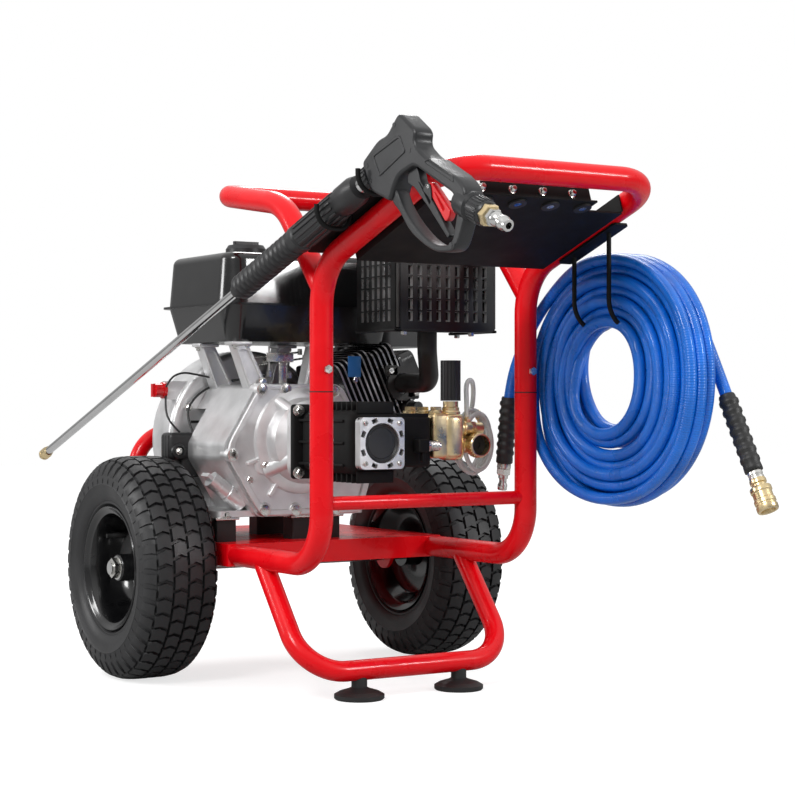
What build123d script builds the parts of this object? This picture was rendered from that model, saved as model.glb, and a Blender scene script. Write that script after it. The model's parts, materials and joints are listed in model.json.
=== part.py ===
"""Gas pressure washer on a two-wheeled tube frame, with a spray gun, a lance and a coiled hose.

Millimetres. +Z is up, +X is the machine's right seen by someone who stands at its front feet,
and -Y is the front, where the feet, the loop handle and the pump are. The origin is on the
ground, under the middle of the whole machine.
"""

import os
from math import cos, radians, sin, tan

from build123d import *

# ---------------------------------------------------------------- driving dimensions
TYRE_R = 165.0            # 13 x 5.00-6 pneumatic tyre
TYRE_WIDTH = 120.0
WHEEL_X = 251.5           # middle of each tyre, from the centre plane
AXLE_Y = 205.0
AXLE_Z = TYRE_R
AXLE_R = 9.5

FRAME_X = 169.0           # tube centres, from the centre plane
TUBE_R = 15.9             # 1 1/4 inch main tube
TUBE_WALL = 2.0
UPRIGHT_Y = -190.0
RAIL_Z = 189.0
SEAM_Z = 424.0            # where the upper loop slips over the lower frame
LOOP_BEND_Z = 592.0
LOOP_SLOPE = 20.0         # degrees, rising towards the front
LOOP_FRONT_Y = -480.0
STAND_TUBE_R = 14.3
FOOT_X = 83.0
FOOT_Y = -146.0
HOOP_Y = 401.0

BASE_TOP = 205.0
BASE_DEEP = 32.0
BASE_X = 185.0
BASE_FRONT = 50.0
BASE_REAR = 415.0

SHAFT_X = -50.0           # engine and pump share this shaft, which runs along Y
SHAFT_Z = 353.0
ENGINE_BASE_Z = 241.0
CYLINDER_Y = 165.0
CYLINDER_TILT = 25.0      # degrees above horizontal, towards +X
BORE_R = 44.0
STROKE = 64.0
ROD_LENGTH = 115.0
COVER_FRONT = 75.0
CASE_FRONT = 95.0
CASE_REAR = 235.0

PUMP_REAR = 14.0
PUMP_FRONT = -140.0

LANCE_X = -215.0          # gun and lance lie in this plane
LANCE_R = 6.5
LANCE_SLOPE = 19.0        # degrees, rising towards the front
LANCE_END = (LANCE_X, 652.0, 327.6)
GUN_WIDTH = 28.0

HOSE_R = 8.25
COIL_Y = -339.0
COIL_Z = 440.0
TUBE_CLEAR_R = 3.5        # detergent tube

GAP = 0.3                 # clearance between pieces that move past each other
RUN = 0.05                # radial clearance of a running fit

PARTS = "parts"
os.makedirs(PARTS, exist_ok=True)


# ---------------------------------------------------------------- helpers
def save(part, name):
    """Labels one finished piece and writes it as a STEP file."""
    part.label = name
    export_step(part, f"{PARTS}/{name}.step")


def round_tube(points, bend_radii, outer, wall=0.0):
    """A round tube or, with no wall, a rod, along straight runs joined by tangent bends."""
    with BuildPart() as piece:
        with BuildLine() as route:
            if len(points) == 2:
                Line(*points)
            else:
                FilletPolyline(*points, radius=bend_radii)
        start = Plane(origin=route.line @ 0, z_dir=route.line % 0)
        with BuildSketch(start):
            Circle(outer)
            if wall:
                Circle(outer - wall, mode=Mode.SUBTRACT)
        sweep()
    return piece.part


def turned(profile, plane=Plane.XZ):
    """A solid of revolution about the plane's Y axis; profile is (radius, height) points."""
    with BuildPart() as piece:
        with BuildSketch(plane):
            Polygon(*profile, align=None)
        revolve(axis=Axis(plane.origin, plane.y_dir))
    return piece.part


def turned_along(profile, origin, direction):
    """The same, with heights measured from origin along direction."""
    side = Vector(*direction).cross(Vector(1, 0.013, 0.007))
    return turned(profile, Plane(origin=origin, x_dir=side, z_dir=side.cross(Vector(*direction))))


def hex_bolt(origin, direction, size=6.0, head=5.0, shank=10.0):
    """A hexagon head whose underside is at origin, with its shank running back behind it."""
    with BuildPart() as bolt:
        with BuildSketch(Plane(origin=origin, z_dir=direction)):
            RegularPolygon(size, 6)
        extrude(amount=head)
        if shank:
            with BuildSketch(Plane(origin=origin, z_dir=direction)):
                Circle(size * 0.45)
            extrude(amount=-shank)
    return bolt.part


def slab(low, high, edge=0.0):
    """A block between two corners, with its upright edges rounded."""
    size = [b - a for a, b in zip(low, high)]
    middle = tuple((a + b) / 2 for a, b in zip(low, high))
    with BuildPart() as block:
        with Locations(middle):
            Box(*size)
        if edge:
            fillet(block.edges().filter_by(Axis.Z), radius=edge)
    return block.part


def loop_z(y):
    """Height of the upper loop's leg centreline at a given Y."""
    return LOOP_BEND_Z + tan(radians(LOOP_SLOPE)) * (UPRIGHT_Y - y)


# ---------------------------------------------------------------- frame: base
with BuildPart() as base_frame:
    with BuildSketch(Plane.XY.offset(BASE_TOP)):
        with Locations((0, (BASE_FRONT + BASE_REAR) / 2)):
            RectangleRounded(2 * BASE_X, BASE_REAR - BASE_FRONT, 6)
    extrude(amount=-BASE_DEEP)
    with BuildSketch(Plane.XY.offset(BASE_TOP - 4)):
        with Locations((0, (BASE_FRONT + BASE_REAR) / 2)):
            RectangleRounded(2 * BASE_X - 8, BASE_REAR - BASE_FRONT - 8, 3)
    extrude(amount=-BASE_DEEP, mode=Mode.SUBTRACT)
    for side in (-1, 1):
        with BuildSketch(Plane.YZ.offset(side * 178 - 3)):
            with Locations((AXLE_Y, AXLE_Z)):
                Circle(22)
            with Locations((AXLE_Y, BASE_TOP - 6)):
                Rectangle(90, 4)
            make_hull()
            with Locations((AXLE_Y, AXLE_Z)):
                Circle(AXLE_R + RUN, mode=Mode.SUBTRACT)
        extrude(amount=6)
        with Locations(Location((side * (BASE_X - 1), AXLE_Y, AXLE_Z), (0, 90, 0))):
            Cylinder(AXLE_R + 2, 7, mode=Mode.SUBTRACT)
save(base_frame.part, "base_frame")

# ---------------------------------------------------------------- frame: uprights and rails
RAIL_BEND = 70.0
SPIGOT_R = TUBE_R - TUBE_WALL - 0.2
CROSSBAR_Z = 274.0
CROSSBAR_R = 9.5

with BuildPart() as lower_frame:
    for side in (-1, 1):
        x = side * FRAME_X
        bend = [(x, UPRIGHT_Y, SEAM_Z), (x, UPRIGHT_Y, RAIL_Z), (x, BASE_FRONT, RAIL_Z)]
        add(round_tube(bend, [RAIL_BEND], TUBE_R, TUBE_WALL))
        spigot = [(x, UPRIGHT_Y, SEAM_Z - 30), (x, UPRIGHT_Y, SEAM_Z + 40)]
        add(round_tube(spigot, [], SPIGOT_R, TUBE_WALL))
        plug = [(x, UPRIGHT_Y, SEAM_Z - 30), (x, UPRIGHT_Y, SEAM_Z - 10)]
        add(round_tube(plug, [], TUBE_R - 1, 2.4))
    reach = FRAME_X - 12.9
    add(round_tube([(-reach, UPRIGHT_Y, CROSSBAR_Z), (reach, UPRIGHT_Y, CROSSBAR_Z)], [], CROSSBAR_R, 1.6))
save(lower_frame.part, "lower_frame")

# ---------------------------------------------------------------- frame: U-shaped stand and feet
STAND_TOP = (FRAME_X, -30.0, 181.0)
BAR_Z = 40.0

with BuildPart() as stand_tube:
    x, top_y, top_z = STAND_TOP
    add(round_tube([(-x, top_y, top_z), (-x, FOOT_Y, BAR_Z), (x, FOOT_Y, BAR_Z), (x, top_y, top_z)],
                   [65, 65], STAND_TUBE_R, TUBE_WALL))
    for side in (-1, 1):
        with Locations(Location((side * FRAME_X, -30, RAIL_Z), (90, 0, 0))):
            Cylinder(TUBE_R + RUN, 200, mode=Mode.SUBTRACT)
save(stand_tube.part, "stand_tube")

with BuildPart() as foot_pads:
    profile = turned([(0, 0), (33, 0), (35, 2), (35, 7), (28, 11), (15, 15), (11, 17), (11, 32), (0, 32)])
    for side in (-1, 1):
        add(profile.moved(Location((side * FOOT_X, FOOT_Y, 0))))
    with Locations(Location((0, FOOT_Y, BAR_Z), (0, 90, 0))):
        Cylinder(STAND_TUBE_R + RUN, 400, mode=Mode.SUBTRACT)
save(foot_pads.part, "foot_pads")

# ---------------------------------------------------------------- frame: front handle loop
STUB_SEAM = (-156.8, 605.2)
STUB_FOOT = (-192.0, 564.7)

with BuildPart() as front_handle_loop:
    x = FRAME_X
    front_z = loop_z(LOOP_FRONT_Y)
    left = [(-x, UPRIGHT_Y, SEAM_Z + GAP), (-x, UPRIGHT_Y, LOOP_BEND_Z), (-x, LOOP_FRONT_Y, front_z)]
    right = [(x, y, z) for _, y, z in reversed(left)]
    add(round_tube(left + right, [80, 62, 62, 80], TUBE_R, TUBE_WALL))
    for side in (-1, 1):
        foot = (side * x, *STUB_FOOT)
        seam = (side * x, *STUB_SEAM)
        add(round_tube([foot, seam], [], TUBE_R, TUBE_WALL))
        way = (Vector(*seam) - Vector(*foot)).normalized()
        add(round_tube([tuple(Vector(*seam) - way * 20), tuple(Vector(*seam) + way * 25)], [],
                       SPIGOT_R, TUBE_WALL))
        add(round_tube([tuple(Vector(*seam) - way * 18), tuple(Vector(*seam) - way * 8)], [],
                       TUBE_R - 1, 2.4))
save(front_handle_loop.part, "front_handle_loop")

# ---------------------------------------------------------------- frame: rear handle loop and hoop
BACK_BAR = (119.0, 715.8)
BACK_BEND = (-87.9, 684.4)

with BuildPart() as rear_handle_loop:
    left = [(-FRAME_X, STUB_SEAM[0] + 0.2, STUB_SEAM[1] + 0.23), (-FRAME_X, *BACK_BEND), (-FRAME_X, *BACK_BAR)]
    right = [(FRAME_X, y, z) for _, y, z in reversed(left)]
    add(round_tube(left + right, [100, 60, 60, 100], TUBE_R, TUBE_WALL))
save(rear_handle_loop.part, "rear_handle_loop")

HOOP_TOP = 362.0
with BuildPart() as rear_hoop:
    left = [(-FRAME_X, HOOP_Y, BASE_TOP), (-FRAME_X, HOOP_Y, HOOP_TOP)]
    right = [(FRAME_X, y, z) for _, y, z in reversed(left)]
    add(round_tube(left + right, [60, 60], 12.7, TUBE_WALL))
save(rear_hoop.part, "rear_hoop")

# ---------------------------------------------------------------- nozzle tray
LEG = Plane(origin=(0, UPRIGHT_Y, LOOP_BEND_Z), x_dir=(1, 0, 0),
            z_dir=(0, sin(radians(LOOP_SLOPE)), cos(radians(LOOP_SLOPE))))
TRAY_LOW = -18.0          # below the legs' centre plane
TRAY_NEAR = -62.0         # measured along the leg, forwards is negative in the leg plane
TRAY_FAR = -246.0
TAB_FAR = -274.0
TAB_X = 91.0
NOZZLE_X = [-78.0, -26.0, 26.0, 78.0]
NOZZLE_AT = -257.0

with BuildPart() as nozzle_tray:
    with BuildSketch(LEG.offset(TRAY_LOW)):
        with Locations((0, (TRAY_NEAR + TRAY_FAR) / 2)):
            Rectangle(2 * 151, TRAY_NEAR - TRAY_FAR)
        with Locations((0, (TRAY_FAR + TAB_FAR) / 2 + 4)):
            Rectangle(2 * TAB_X, TRAY_FAR - TAB_FAR + 8)
        with Locations([(x, NOZZLE_AT) for x in NOZZLE_X]):
            Circle(9.0, mode=Mode.SUBTRACT)
    extrude(amount=2.5)
    for side in (-1, 1):
        with BuildSketch(LEG.offset(TRAY_LOW)):
            with Locations((side * 151.4, (TRAY_NEAR + TRAY_FAR) / 2)):
                Rectangle(2.6, TRAY_NEAR - TRAY_FAR)
        extrude(amount=26)
save(nozzle_tray.part, "nozzle_tray")

with BuildPart() as nozzle_grommets:
    ring = turned_along([(5.0, -3), (12, -3), (12, -GAP), (8.9, -GAP), (8.9, 2.8), (12, 2.8), (12, 5), (5.0, 5)],
                        LEG.from_local_coords((0, 0, TRAY_LOW)), LEG.z_dir)
    for x in NOZZLE_X:
        add(ring.moved(Location(LEG.from_local_coords((x, NOZZLE_AT, 0)) - LEG.origin)))
save(nozzle_grommets.part, "nozzle_grommets")

with BuildPart() as spray_nozzles:
    tip = turned_along([(0, -15), (3.4, -15), (4.2, -13), (4.95, -11), (4.95, 11), (7.5, 11), (7.5, 19),
                        (6.2, 24), (0, 24)],
                       LEG.from_local_coords((0, 0, TRAY_LOW)), LEG.z_dir)
    for x in NOZZLE_X:
        add(tip.moved(Location(LEG.from_local_coords((x, NOZZLE_AT, 0)) - LEG.origin)))
save(spray_nozzles.part, "spray_nozzles")

# ---------------------------------------------------------------- hooks
HOOK_WIRE_R = 3.2
HOSE_HOOK_Y = [-296.0, -372.0]
HOSE_HOOK_LOW = 510.0
HOSE_HOOK_R = 40.0
HOOK_X = 175.0


def hose_hook_route(y):
    """Corners of one J-shaped wire: down from the leg, across and up to its tip."""
    top = loop_z(y) - (TUBE_R + 1.5) / cos(radians(LOOP_SLOPE))
    far = HOOK_X + 2 * HOSE_HOOK_R
    tip = HOSE_HOOK_LOW + HOSE_HOOK_R + 18
    return [(HOOK_X, y, top), (HOOK_X, y, HOSE_HOOK_LOW), (far, y, HOSE_HOOK_LOW), (far, y, tip)]


with BuildPart() as hose_hook:
    with BuildSketch(LEG.offset(-TUBE_R - 3.2)):
        with Locations((HOOK_X, -150)):
            RectangleRounded(26, 132, 6)
    extrude(amount=3)
    for y in HOSE_HOOK_Y:
        add(round_tube(hose_hook_route(y), [HOSE_HOOK_R - 0.5] * 2, HOOK_WIRE_R))
save(hose_hook.part, "hose_hook")

LANCE_HOOK_Y = [-300.0, -401.0]
LANCE_HOOK_R = 25.0
LANCE_HOOK_X = -190.0

with BuildPart() as lance_hook:
    with BuildSketch(LEG.offset(TUBE_R + 0.2)):
        with Locations((-172, -118)):
            RectangleRounded(42, 222, 6)
    extrude(amount=3)
    for y in LANCE_HOOK_Y:
        axis_z = LANCE_END[2] + tan(radians(LANCE_SLOPE)) * (LANCE_END[1] - y)
        low = axis_z - 24.0
        top = loop_z(y) + (TUBE_R + 1.5) / cos(radians(LOOP_SLOPE))
        far = LANCE_HOOK_X - 2 * LANCE_HOOK_R
        route = [(LANCE_HOOK_X, y, top), (LANCE_HOOK_X, y, low), (far, y, low), (far, y, axis_z + 6)]
        add(round_tube(route, [min(top - low, LANCE_HOOK_R) - 0.5, LANCE_HOOK_R - 0.5], HOOK_WIRE_R))
save(lance_hook.part, "lance_hook")

# ---------------------------------------------------------------- axle and wheels
HUB_INNER = 208.0
HUB_OUTER = 288.0

with BuildPart() as axle:
    add(round_tube([(-301, AXLE_Y, AXLE_Z), (301, AXLE_Y, AXLE_Z)], [], AXLE_R))
save(axle.part, "axle")


def wheel(side):
    """Tyre and rim of one wheel, on its own side of the machine."""
    hub = Plane(origin=(side * WHEEL_X, AXLE_Y, AXLE_Z), x_dir=(0, 1, 0), z_dir=(0, 0, -side))
    w = TYRE_WIDTH / 2
    outside = [(82, 41.5), (92.5, 44.6), (93, 51), (118, w), (140, w - 3), (158, w - 13), (TYRE_R, w - 30)]
    inside = [(152, 28), (140, 44), (112, 50), (90, 37), (82, 36)]
    outline = outside + [(r, -h) for r, h in reversed(outside)]
    outline += [(r, -h) for r, h in reversed(inside)] + inside
    tyre = turned(outline, hub)
    inner = -(WHEEL_X - HUB_INNER)
    outer = HUB_OUTER - WHEEL_X
    bore = AXLE_R + RUN
    rim = turned([(bore, inner), (20, inner), (20, -14), (62, -10), (72, -42), (91, -48), (91, -45.2),
                  (81, -42), (76, -20), (76, 20), (81, 42), (91, 45.2), (91, 48), (72, 42), (66, 10),
                  (62, -5), (24, -8), (20, 0), (20, outer), (bore, outer)], hub)
    return tyre, rim


for side, name in ((-1, "left"), (1, "right")):
    tyre, rim = wheel(side)
    save(tyre, f"tyre_{name}")
    save(rim, f"rim_{name}")

# ---------------------------------------------------------------- engine: crankcase and side cover
ROD = Vector(cos(radians(CYLINDER_TILT)), 0, sin(radians(CYLINDER_TILT)))
CRANK = Vector(SHAFT_X, CYLINDER_Y, SHAFT_Z)
CASE_OUTLINE = [(-70, -112), (105, -112), (122, -60), (112, 10), (70, 84), (-70, 84), (-124, -4), (-124, -26)]
COVER_BOLTS = [(-117, -20), (-63, -102), (-10, -104), (60, -104), (108, -40), (96, 20), (56, 74), (-27, 76), (-68, 76)]


def across(distance):
    """Plane square to the cylinder's axis at a distance from the crank; local x runs along Y."""
    return Plane(origin=CRANK + ROD * distance, x_dir=(0, 1, 0), z_dir=tuple(ROD))


def case_slice(near, far, shrink=0.0):
    """The crankcase's outline between two Y planes, less an even margin."""
    with BuildPart() as piece:
        with BuildSketch(Plane(origin=(SHAFT_X, near, SHAFT_Z), x_dir=(1, 0, 0), z_dir=(0, -1, 0))):
            with BuildLine():
                FilletPolyline(*CASE_OUTLINE, radius=14, close=True)
            make_face()
            if shrink:
                offset(amount=-shrink, mode=Mode.REPLACE)
        extrude(amount=-(far - near))
    return piece.part


def along_y(radius, near, far, x=SHAFT_X, z=SHAFT_Z):
    """A cylinder between two Y planes."""
    return round_tube([(x, near, z), (x, far, z)], [], radius)


with BuildPart() as crankcase:
    add(case_slice(CASE_FRONT, CASE_REAR))
    add(slab((-178, CASE_FRONT + 0.2, ENGINE_BASE_Z), (72, CASE_REAR, ENGINE_BASE_Z + 9), 8))
    with BuildSketch(across(40)):
        Circle(BORE_R + 12)
    extrude(amount=72)
    add(along_y(64, CASE_FRONT - 1, CASE_REAR - 10), mode=Mode.SUBTRACT)
    add(slab((-220, 204, ENGINE_BASE_Z + 9), (-119, CASE_REAR + 1, 400)), mode=Mode.SUBTRACT)
    add(along_y(17.5 + RUN, CASE_REAR - 12, CASE_REAR + 1), mode=Mode.SUBTRACT)
    with BuildSketch(across(0)):
        Circle(BORE_R + RUN)
    extrude(amount=115, mode=Mode.SUBTRACT)
    dip_way = Vector(-0.80, 0, 0.60)
    dip_seat = Vector(-172, 112, 290)
    add(round_tube([tuple(dip_seat - dip_way * 52), tuple(dip_seat)], [], 12.5))
    add(round_tube([tuple(dip_seat - dip_way * 60), tuple(dip_seat + dip_way)], [], 8.3),
        mode=Mode.SUBTRACT)
    for y in (100, 208):
        with BuildSketch(Plane.XZ.offset(-y)):
            Polygon((-122, 424), (-88, 424), (-128, 499.7), (-150, 499.7), align=None)
            Polygon((-34, 424), (0, 424), (8, 499.7), (-16, 499.7), align=None)
        extrude(amount=-20)
save(crankcase.part, "crankcase")

with BuildPart() as crankcase_cover:
    add(case_slice(COVER_FRONT + 8, CASE_FRONT))
    add(case_slice(COVER_FRONT, COVER_FRONT + 8, 9))
    add(along_y(17.5 + RUN, COVER_FRONT - 1, CASE_FRONT + 1), mode=Mode.SUBTRACT)
    for dx, dz in COVER_BOLTS:
        add(along_y(8.5, COVER_FRONT + 1, CASE_FRONT, SHAFT_X + dx, SHAFT_Z + dz))
    for dx, dz in COVER_BOLTS:
        add(along_y(3.2, COVER_FRONT - 1, CASE_FRONT + 1, SHAFT_X + dx, SHAFT_Z + dz), mode=Mode.SUBTRACT)
save(crankcase_cover.part, "crankcase_cover")

# ---------------------------------------------------------------- engine: cylinder, head, valve cover
EXHAUST = CRANK + ROD * 204
BARREL = (112.0, 178.0)
HEAD = (178.0, 226.0)
ROCKER = (226.0, 262.0)

with BuildPart() as cylinder_barrel:
    with BuildSketch(across(BARREL[0])):
        Circle(BORE_R + 12)
        Circle(BORE_R + RUN, mode=Mode.SUBTRACT)
    extrude(amount=BARREL[1] - BARREL[0])
    for step in range(7):
        with BuildSketch(across(BARREL[0] + 2 + 9 * step)):
            with Locations((-4, 2)):
                RectangleRounded(132, 140, 14)
            Circle(BORE_R + 6, mode=Mode.SUBTRACT)
        extrude(amount=3)
save(cylinder_barrel.part, "cylinder_barrel")

with BuildPart() as cylinder_head:
    with BuildSketch(across(HEAD[0])):
        RectangleRounded(104, 112, 10)
    extrude(amount=HEAD[1] - HEAD[0])
    for step in range(5):
        with BuildSketch(across(HEAD[0] + 2 + 9 * step)):
            with Locations((-2, 0)):
                RectangleRounded(128, 126, 12)
        extrude(amount=3)
    add(along_y(18, 88, 130, EXHAUST.X, EXHAUST.Z))
    add(along_y(15, 84, 104, EXHAUST.X, EXHAUST.Z), mode=Mode.SUBTRACT)
save(cylinder_head.part, "cylinder_head")

with BuildPart() as valve_cover:
    with BuildSketch(across(ROCKER[0])):
        RectangleRounded(116, 84, 12)
    extrude(amount=5)
    with BuildSketch(across(ROCKER[0] + 5)):
        RectangleRounded(104, 72, 14)
    extrude(amount=ROCKER[1] - ROCKER[0] - 5, taper=6)
    fillet(valve_cover.faces().sort_by(Axis((0, 0, 0), tuple(ROD)))[-1].edges(), radius=5)
    with BuildSketch(across(ROCKER[0])):
        RectangleRounded(98, 66, 11)
    extrude(amount=22, mode=Mode.SUBTRACT)
save(valve_cover.part, "valve_cover")

with BuildPart() as spark_plug:
    seat = Vector(152, CYLINDER_Y - 66.4, 403)
    add(round_tube([tuple(seat), tuple(seat + Vector(0, -14, 0))], [], 10))
    add(round_tube([tuple(seat + Vector(0, -14, 0)), tuple(seat + Vector(0, -34, 0))], [], 8))
    add(round_tube([tuple(seat + Vector(0, -26, 0)), tuple(seat + Vector(0, -26, -30))], [], 7.5))
save(spark_plug.part, "spark_plug")

# ---------------------------------------------------------------- engine: crank train
with BuildPart() as crankshaft:
    add(along_y(17.5, CYLINDER_Y + 12.5, CASE_REAR + 1))
    add(along_y(14, CASE_REAR, 292))
    add(along_y(17.5, COVER_FRONT - 3, CYLINDER_Y - 12.5))
    add(along_y(12.7, -20, COVER_FRONT))
    for near in (CYLINDER_Y - 26.5, CYLINDER_Y + 12.5):
        add(along_y(58, near, near + 14))
save(crankshaft.part, "crankshaft")

with BuildPart() as flywheel:
    add(along_y(105, 250, 262))
    add(along_y(40, 240, 282))
    for turn in range(24):
        angle = radians(15 * turn)
        with Locations(Location((SHAFT_X + 86 * sin(angle), 270, SHAFT_Z + 86 * cos(angle)), (0, 15 * turn, 0))):
            Box(2.5, 20, 34)
    add(along_y(14 + RUN, 230, 290), mode=Mode.SUBTRACT)
save(flywheel.part, "flywheel")

PIN = STROKE / 2 + ROD_LENGTH
with BuildPart() as piston:
    with BuildSketch(across(PIN - 16)):
        Circle(BORE_R)
        Circle(BORE_R - 5, mode=Mode.SUBTRACT)
    extrude(amount=44)
    with BuildSketch(across(PIN + 22)):
        Circle(BORE_R)
    extrude(amount=7)
    with Locations(CRANK + ROD * PIN):
        Cylinder(9, 2 * BORE_R - 6, rotation=(90, 0, 0))
    with BuildSketch(Plane(origin=CRANK + Vector(0, 11, 0), x_dir=tuple(ROD), z_dir=(0, -1, 0))):
        with Locations((STROKE / 2, 0)):
            Circle(26)
        with Locations((PIN, 0)):
            Circle(14)
        with Locations(((PIN + STROKE / 2) / 2, 0)):
            Rectangle(PIN - STROKE / 2, 16)
    extrude(amount=22)
save(piston.part, "piston")

# ---------------------------------------------------------------- engine: blower housing and recoil
BELL_R = 137.0
BELL = (236.0, 300.0)

with BuildPart() as fan_shroud:
    with BuildSketch(Plane(origin=(SHAFT_X, BELL[0], SHAFT_Z), x_dir=(1, 0, 0), z_dir=(0, -1, 0))):
        Circle(BELL_R)
        with Locations((0, -BELL_R - 126)):
            Rectangle(300, 300, mode=Mode.SUBTRACT)
    extrude(amount=-(BELL[1] - BELL[0]))
    fillet(fan_shroud.edges().group_by(Axis.Y)[0], radius=9)
    with BuildSketch(Plane(origin=(SHAFT_X, BELL[0] + 3, SHAFT_Z), x_dir=(1, 0, 0), z_dir=(0, -1, 0))):
        Circle(BELL_R - 3)
        with Locations((0, -BELL_R - 123)):
            Rectangle(300, 300, mode=Mode.SUBTRACT)
    extrude(amount=-(BELL[1] - BELL[0]), mode=Mode.SUBTRACT)
    add(along_y(42, BELL[0] - 1, BELL[0] + 5), mode=Mode.SUBTRACT)
    with BuildSketch(Plane.XZ.offset(-246)):
        Polygon((-188, 414), (-188, 442), (-150, 442), (-168, 414), align=None)
    extrude(amount=-16)
save(fan_shroud.part, "fan_shroud")

with BuildPart() as recoil_cover:
    profile = turned_along([(112, 0), (134, 0), (134, 3), (116, 3), (104, 26), (72, 40), (0, 43), (0, 39), (70, 36),
                            (101, 23)], (SHAFT_X, BELL[1] + 0.2, SHAFT_Z), (0, 1, 0))
    add(profile)
    add(slab((-300, 290, 200), (200, 360, 226.5)), mode=Mode.SUBTRACT)
    for turn in range(12):
        angle = radians(30 * turn + 15)
        with Locations(Location((SHAFT_X + 90 * sin(angle), 330, SHAFT_Z + 90 * cos(angle)), (0, 30 * turn + 15, 0))):
            Box(8, 60, 26, mode=Mode.SUBTRACT)
    add(slab((-6, 322, 412), (26, 364, 436), 4))
    add(slab((4, 340, 411), (16, 358, 440)), mode=Mode.SUBTRACT)
save(recoil_cover.part, "recoil_cover")

with BuildPart() as recoil_handle:
    with Locations((10, 350, 448)):
        Box(62, 20, 17)
    fillet(recoil_handle.edges(), radius=6)
    add(round_tube([(10, 350, 416), (10, 350, 442)], [], 2.5))
save(recoil_handle.part, "recoil_handle")

# ---------------------------------------------------------------- engine: switch, control box, dipstick
with BuildPart() as control_box:
    add(slab((-204, 206, 333), (-120, 235.5, 362), 6))
    add(slab((-186, 206, 300), (-120, 235.5, 340), 6))
save(control_box.part, "control_box")

with BuildPart() as engine_switch:
    add(round_tube([(-188.5, 254, 428), (-193, 254, 428)], [], 12.5))
    add(round_tube([(-193, 254, 428), (-206, 254, 428)], [], 10.5))
    add(slab((-210, 251, 418), (-200, 257, 438)))
save(engine_switch.part, "engine_switch")

with BuildPart() as oil_dipstick:
    seat = dip_seat + dip_way * GAP
    add(round_tube([tuple(seat), tuple(seat + dip_way * 12)], [], 12.5))
    add(round_tube([tuple(seat - dip_way * 40), tuple(seat)], [], 7.8))
    with Locations(Plane(origin=seat + dip_way * 17, x_dir=(0, 1, 0), z_dir=tuple(dip_way))):
        Box(22, 6, 12)
save(oil_dipstick.part, "oil_dipstick")

# ---------------------------------------------------------------- engine: tank and cap
TANK = ((-168.0, 85.0), (130.0, 305.0))
TANK_SEAM = 555.0
TANK_TOP = 632.0
CAP_AT = (-74.0, 205.0)


def tank_half(low, high, shrink, taper):
    """Half of the tank's outline between two heights, drawn in towards the second one."""
    (x0, y0), (x1, y1) = TANK
    with BuildPart() as half:
        with BuildSketch(Plane.XY.offset(low)):
            with Locations(((x0 + x1) / 2, (y0 + y1) / 2)):
                RectangleRounded(x1 - x0 - 2 * shrink, y1 - y0 - 2 * shrink, 34)
        extrude(amount=high - low, taper=taper)
    return half.part


with BuildPart() as fuel_tank:
    add(tank_half(TANK_SEAM, TANK_TOP, 0, 5))
    fillet(fuel_tank.faces().sort_by(Axis.Z)[-1].edges(), radius=12)
    add(tank_half(TANK_SEAM, 500, 0, 16))
    add(tank_half(TANK_SEAM - 1.5, TANK_SEAM + 1.5, -7, 0))
    add(tank_half(TANK_SEAM - 1, TANK_TOP - 6, 6, 5), mode=Mode.SUBTRACT)
    add(tank_half(TANK_SEAM, 503, 4, 16), mode=Mode.SUBTRACT)
    add(turned([(0, 610), (25, 610), (25, 638), (0, 638)]).moved(Location((*CAP_AT, 0))))
    add(turned([(0, 600), (21, 600), (21, 639), (0, 639)]).moved(Location((*CAP_AT, 0))), mode=Mode.SUBTRACT)
save(fuel_tank.part, "fuel_tank")

with BuildPart() as fuel_cap:
    add(turned([(0, 640), (25.6, 640), (25.6, 634), (31, 634), (31, 645), (27, 651), (0, 653)])
        .moved(Location((*CAP_AT, 0))))
    add(slab((CAP_AT[0] - 21, CAP_AT[1] - 4, 650), (CAP_AT[0] + 21, CAP_AT[1] + 4, 657), 2))
save(fuel_cap.part, "fuel_cap")

# ---------------------------------------------------------------- engine: exhaust and intake
GUARD = ((14.0, -92.0, 512.0), (186.0, 22.0, 640.0))
PIPE_TOP = (112.0, -20.0, 532.0)

with BuildPart() as muffler_guard:
    (x0, y0, z0), (x1, y1, z1) = GUARD
    add(slab(*GUARD, 6))
    add(slab((x0 + 1.6, y0 + 1.6, z0 + 1.6), (x1 - 1.6, y1 + 5, z1 - 1.6), 4), mode=Mode.SUBTRACT)
    with Locations(Location(((x0 + x1) / 2 + 4, y0, (z0 + z1) / 2 + 4))):
        with GridLocations(20, 1, 8, 1):
            Box(5, 8, 104, mode=Mode.SUBTRACT)
    for row in range(5):
        add(slab((x0 + 8, y0, z0 + 29 + 18 * row), (x1 - 8, y0 + 1.6, z0 + 33 + 18 * row)))
    with Locations(Location((PIPE_TOP[0], PIPE_TOP[1], z0))):
        Cylinder(22, 12, mode=Mode.SUBTRACT)
save(muffler_guard.part, "muffler_guard")

with BuildPart() as muffler:
    add(slab((28, -78, 530), (172, 8, 628), 22))
    pipe = [(EXHAUST.X, 103, EXHAUST.Z), (EXHAUST.X, 8, EXHAUST.Z), (PIPE_TOP[0], PIPE_TOP[1], 486), PIPE_TOP]
    add(round_tube(pipe, [30, 22], 14.7))
save(muffler.part, "muffler")

with BuildPart() as carburettor:
    add(slab((118, 233, 440), (166, 262, 486), 6))
    add(along_y(16, 228, 234, 142, 462))
    add(slab((122, 236, 414), (162, 260, 441), 10))
save(carburettor.part, "carburettor")

with BuildPart() as air_cleaner:
    add(slab((138, 150, 506), (236, 300, 596), 18))
    fillet(air_cleaner.faces().sort_by(Axis.Z)[-1].edges(), radius=14)
    add(slab((134, 146, 498), (240, 304, 507), 20))
    add(slab((126, 262.2, 440), (160, 290, 499), 8))
save(air_cleaner.part, "air_cleaner")

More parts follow.
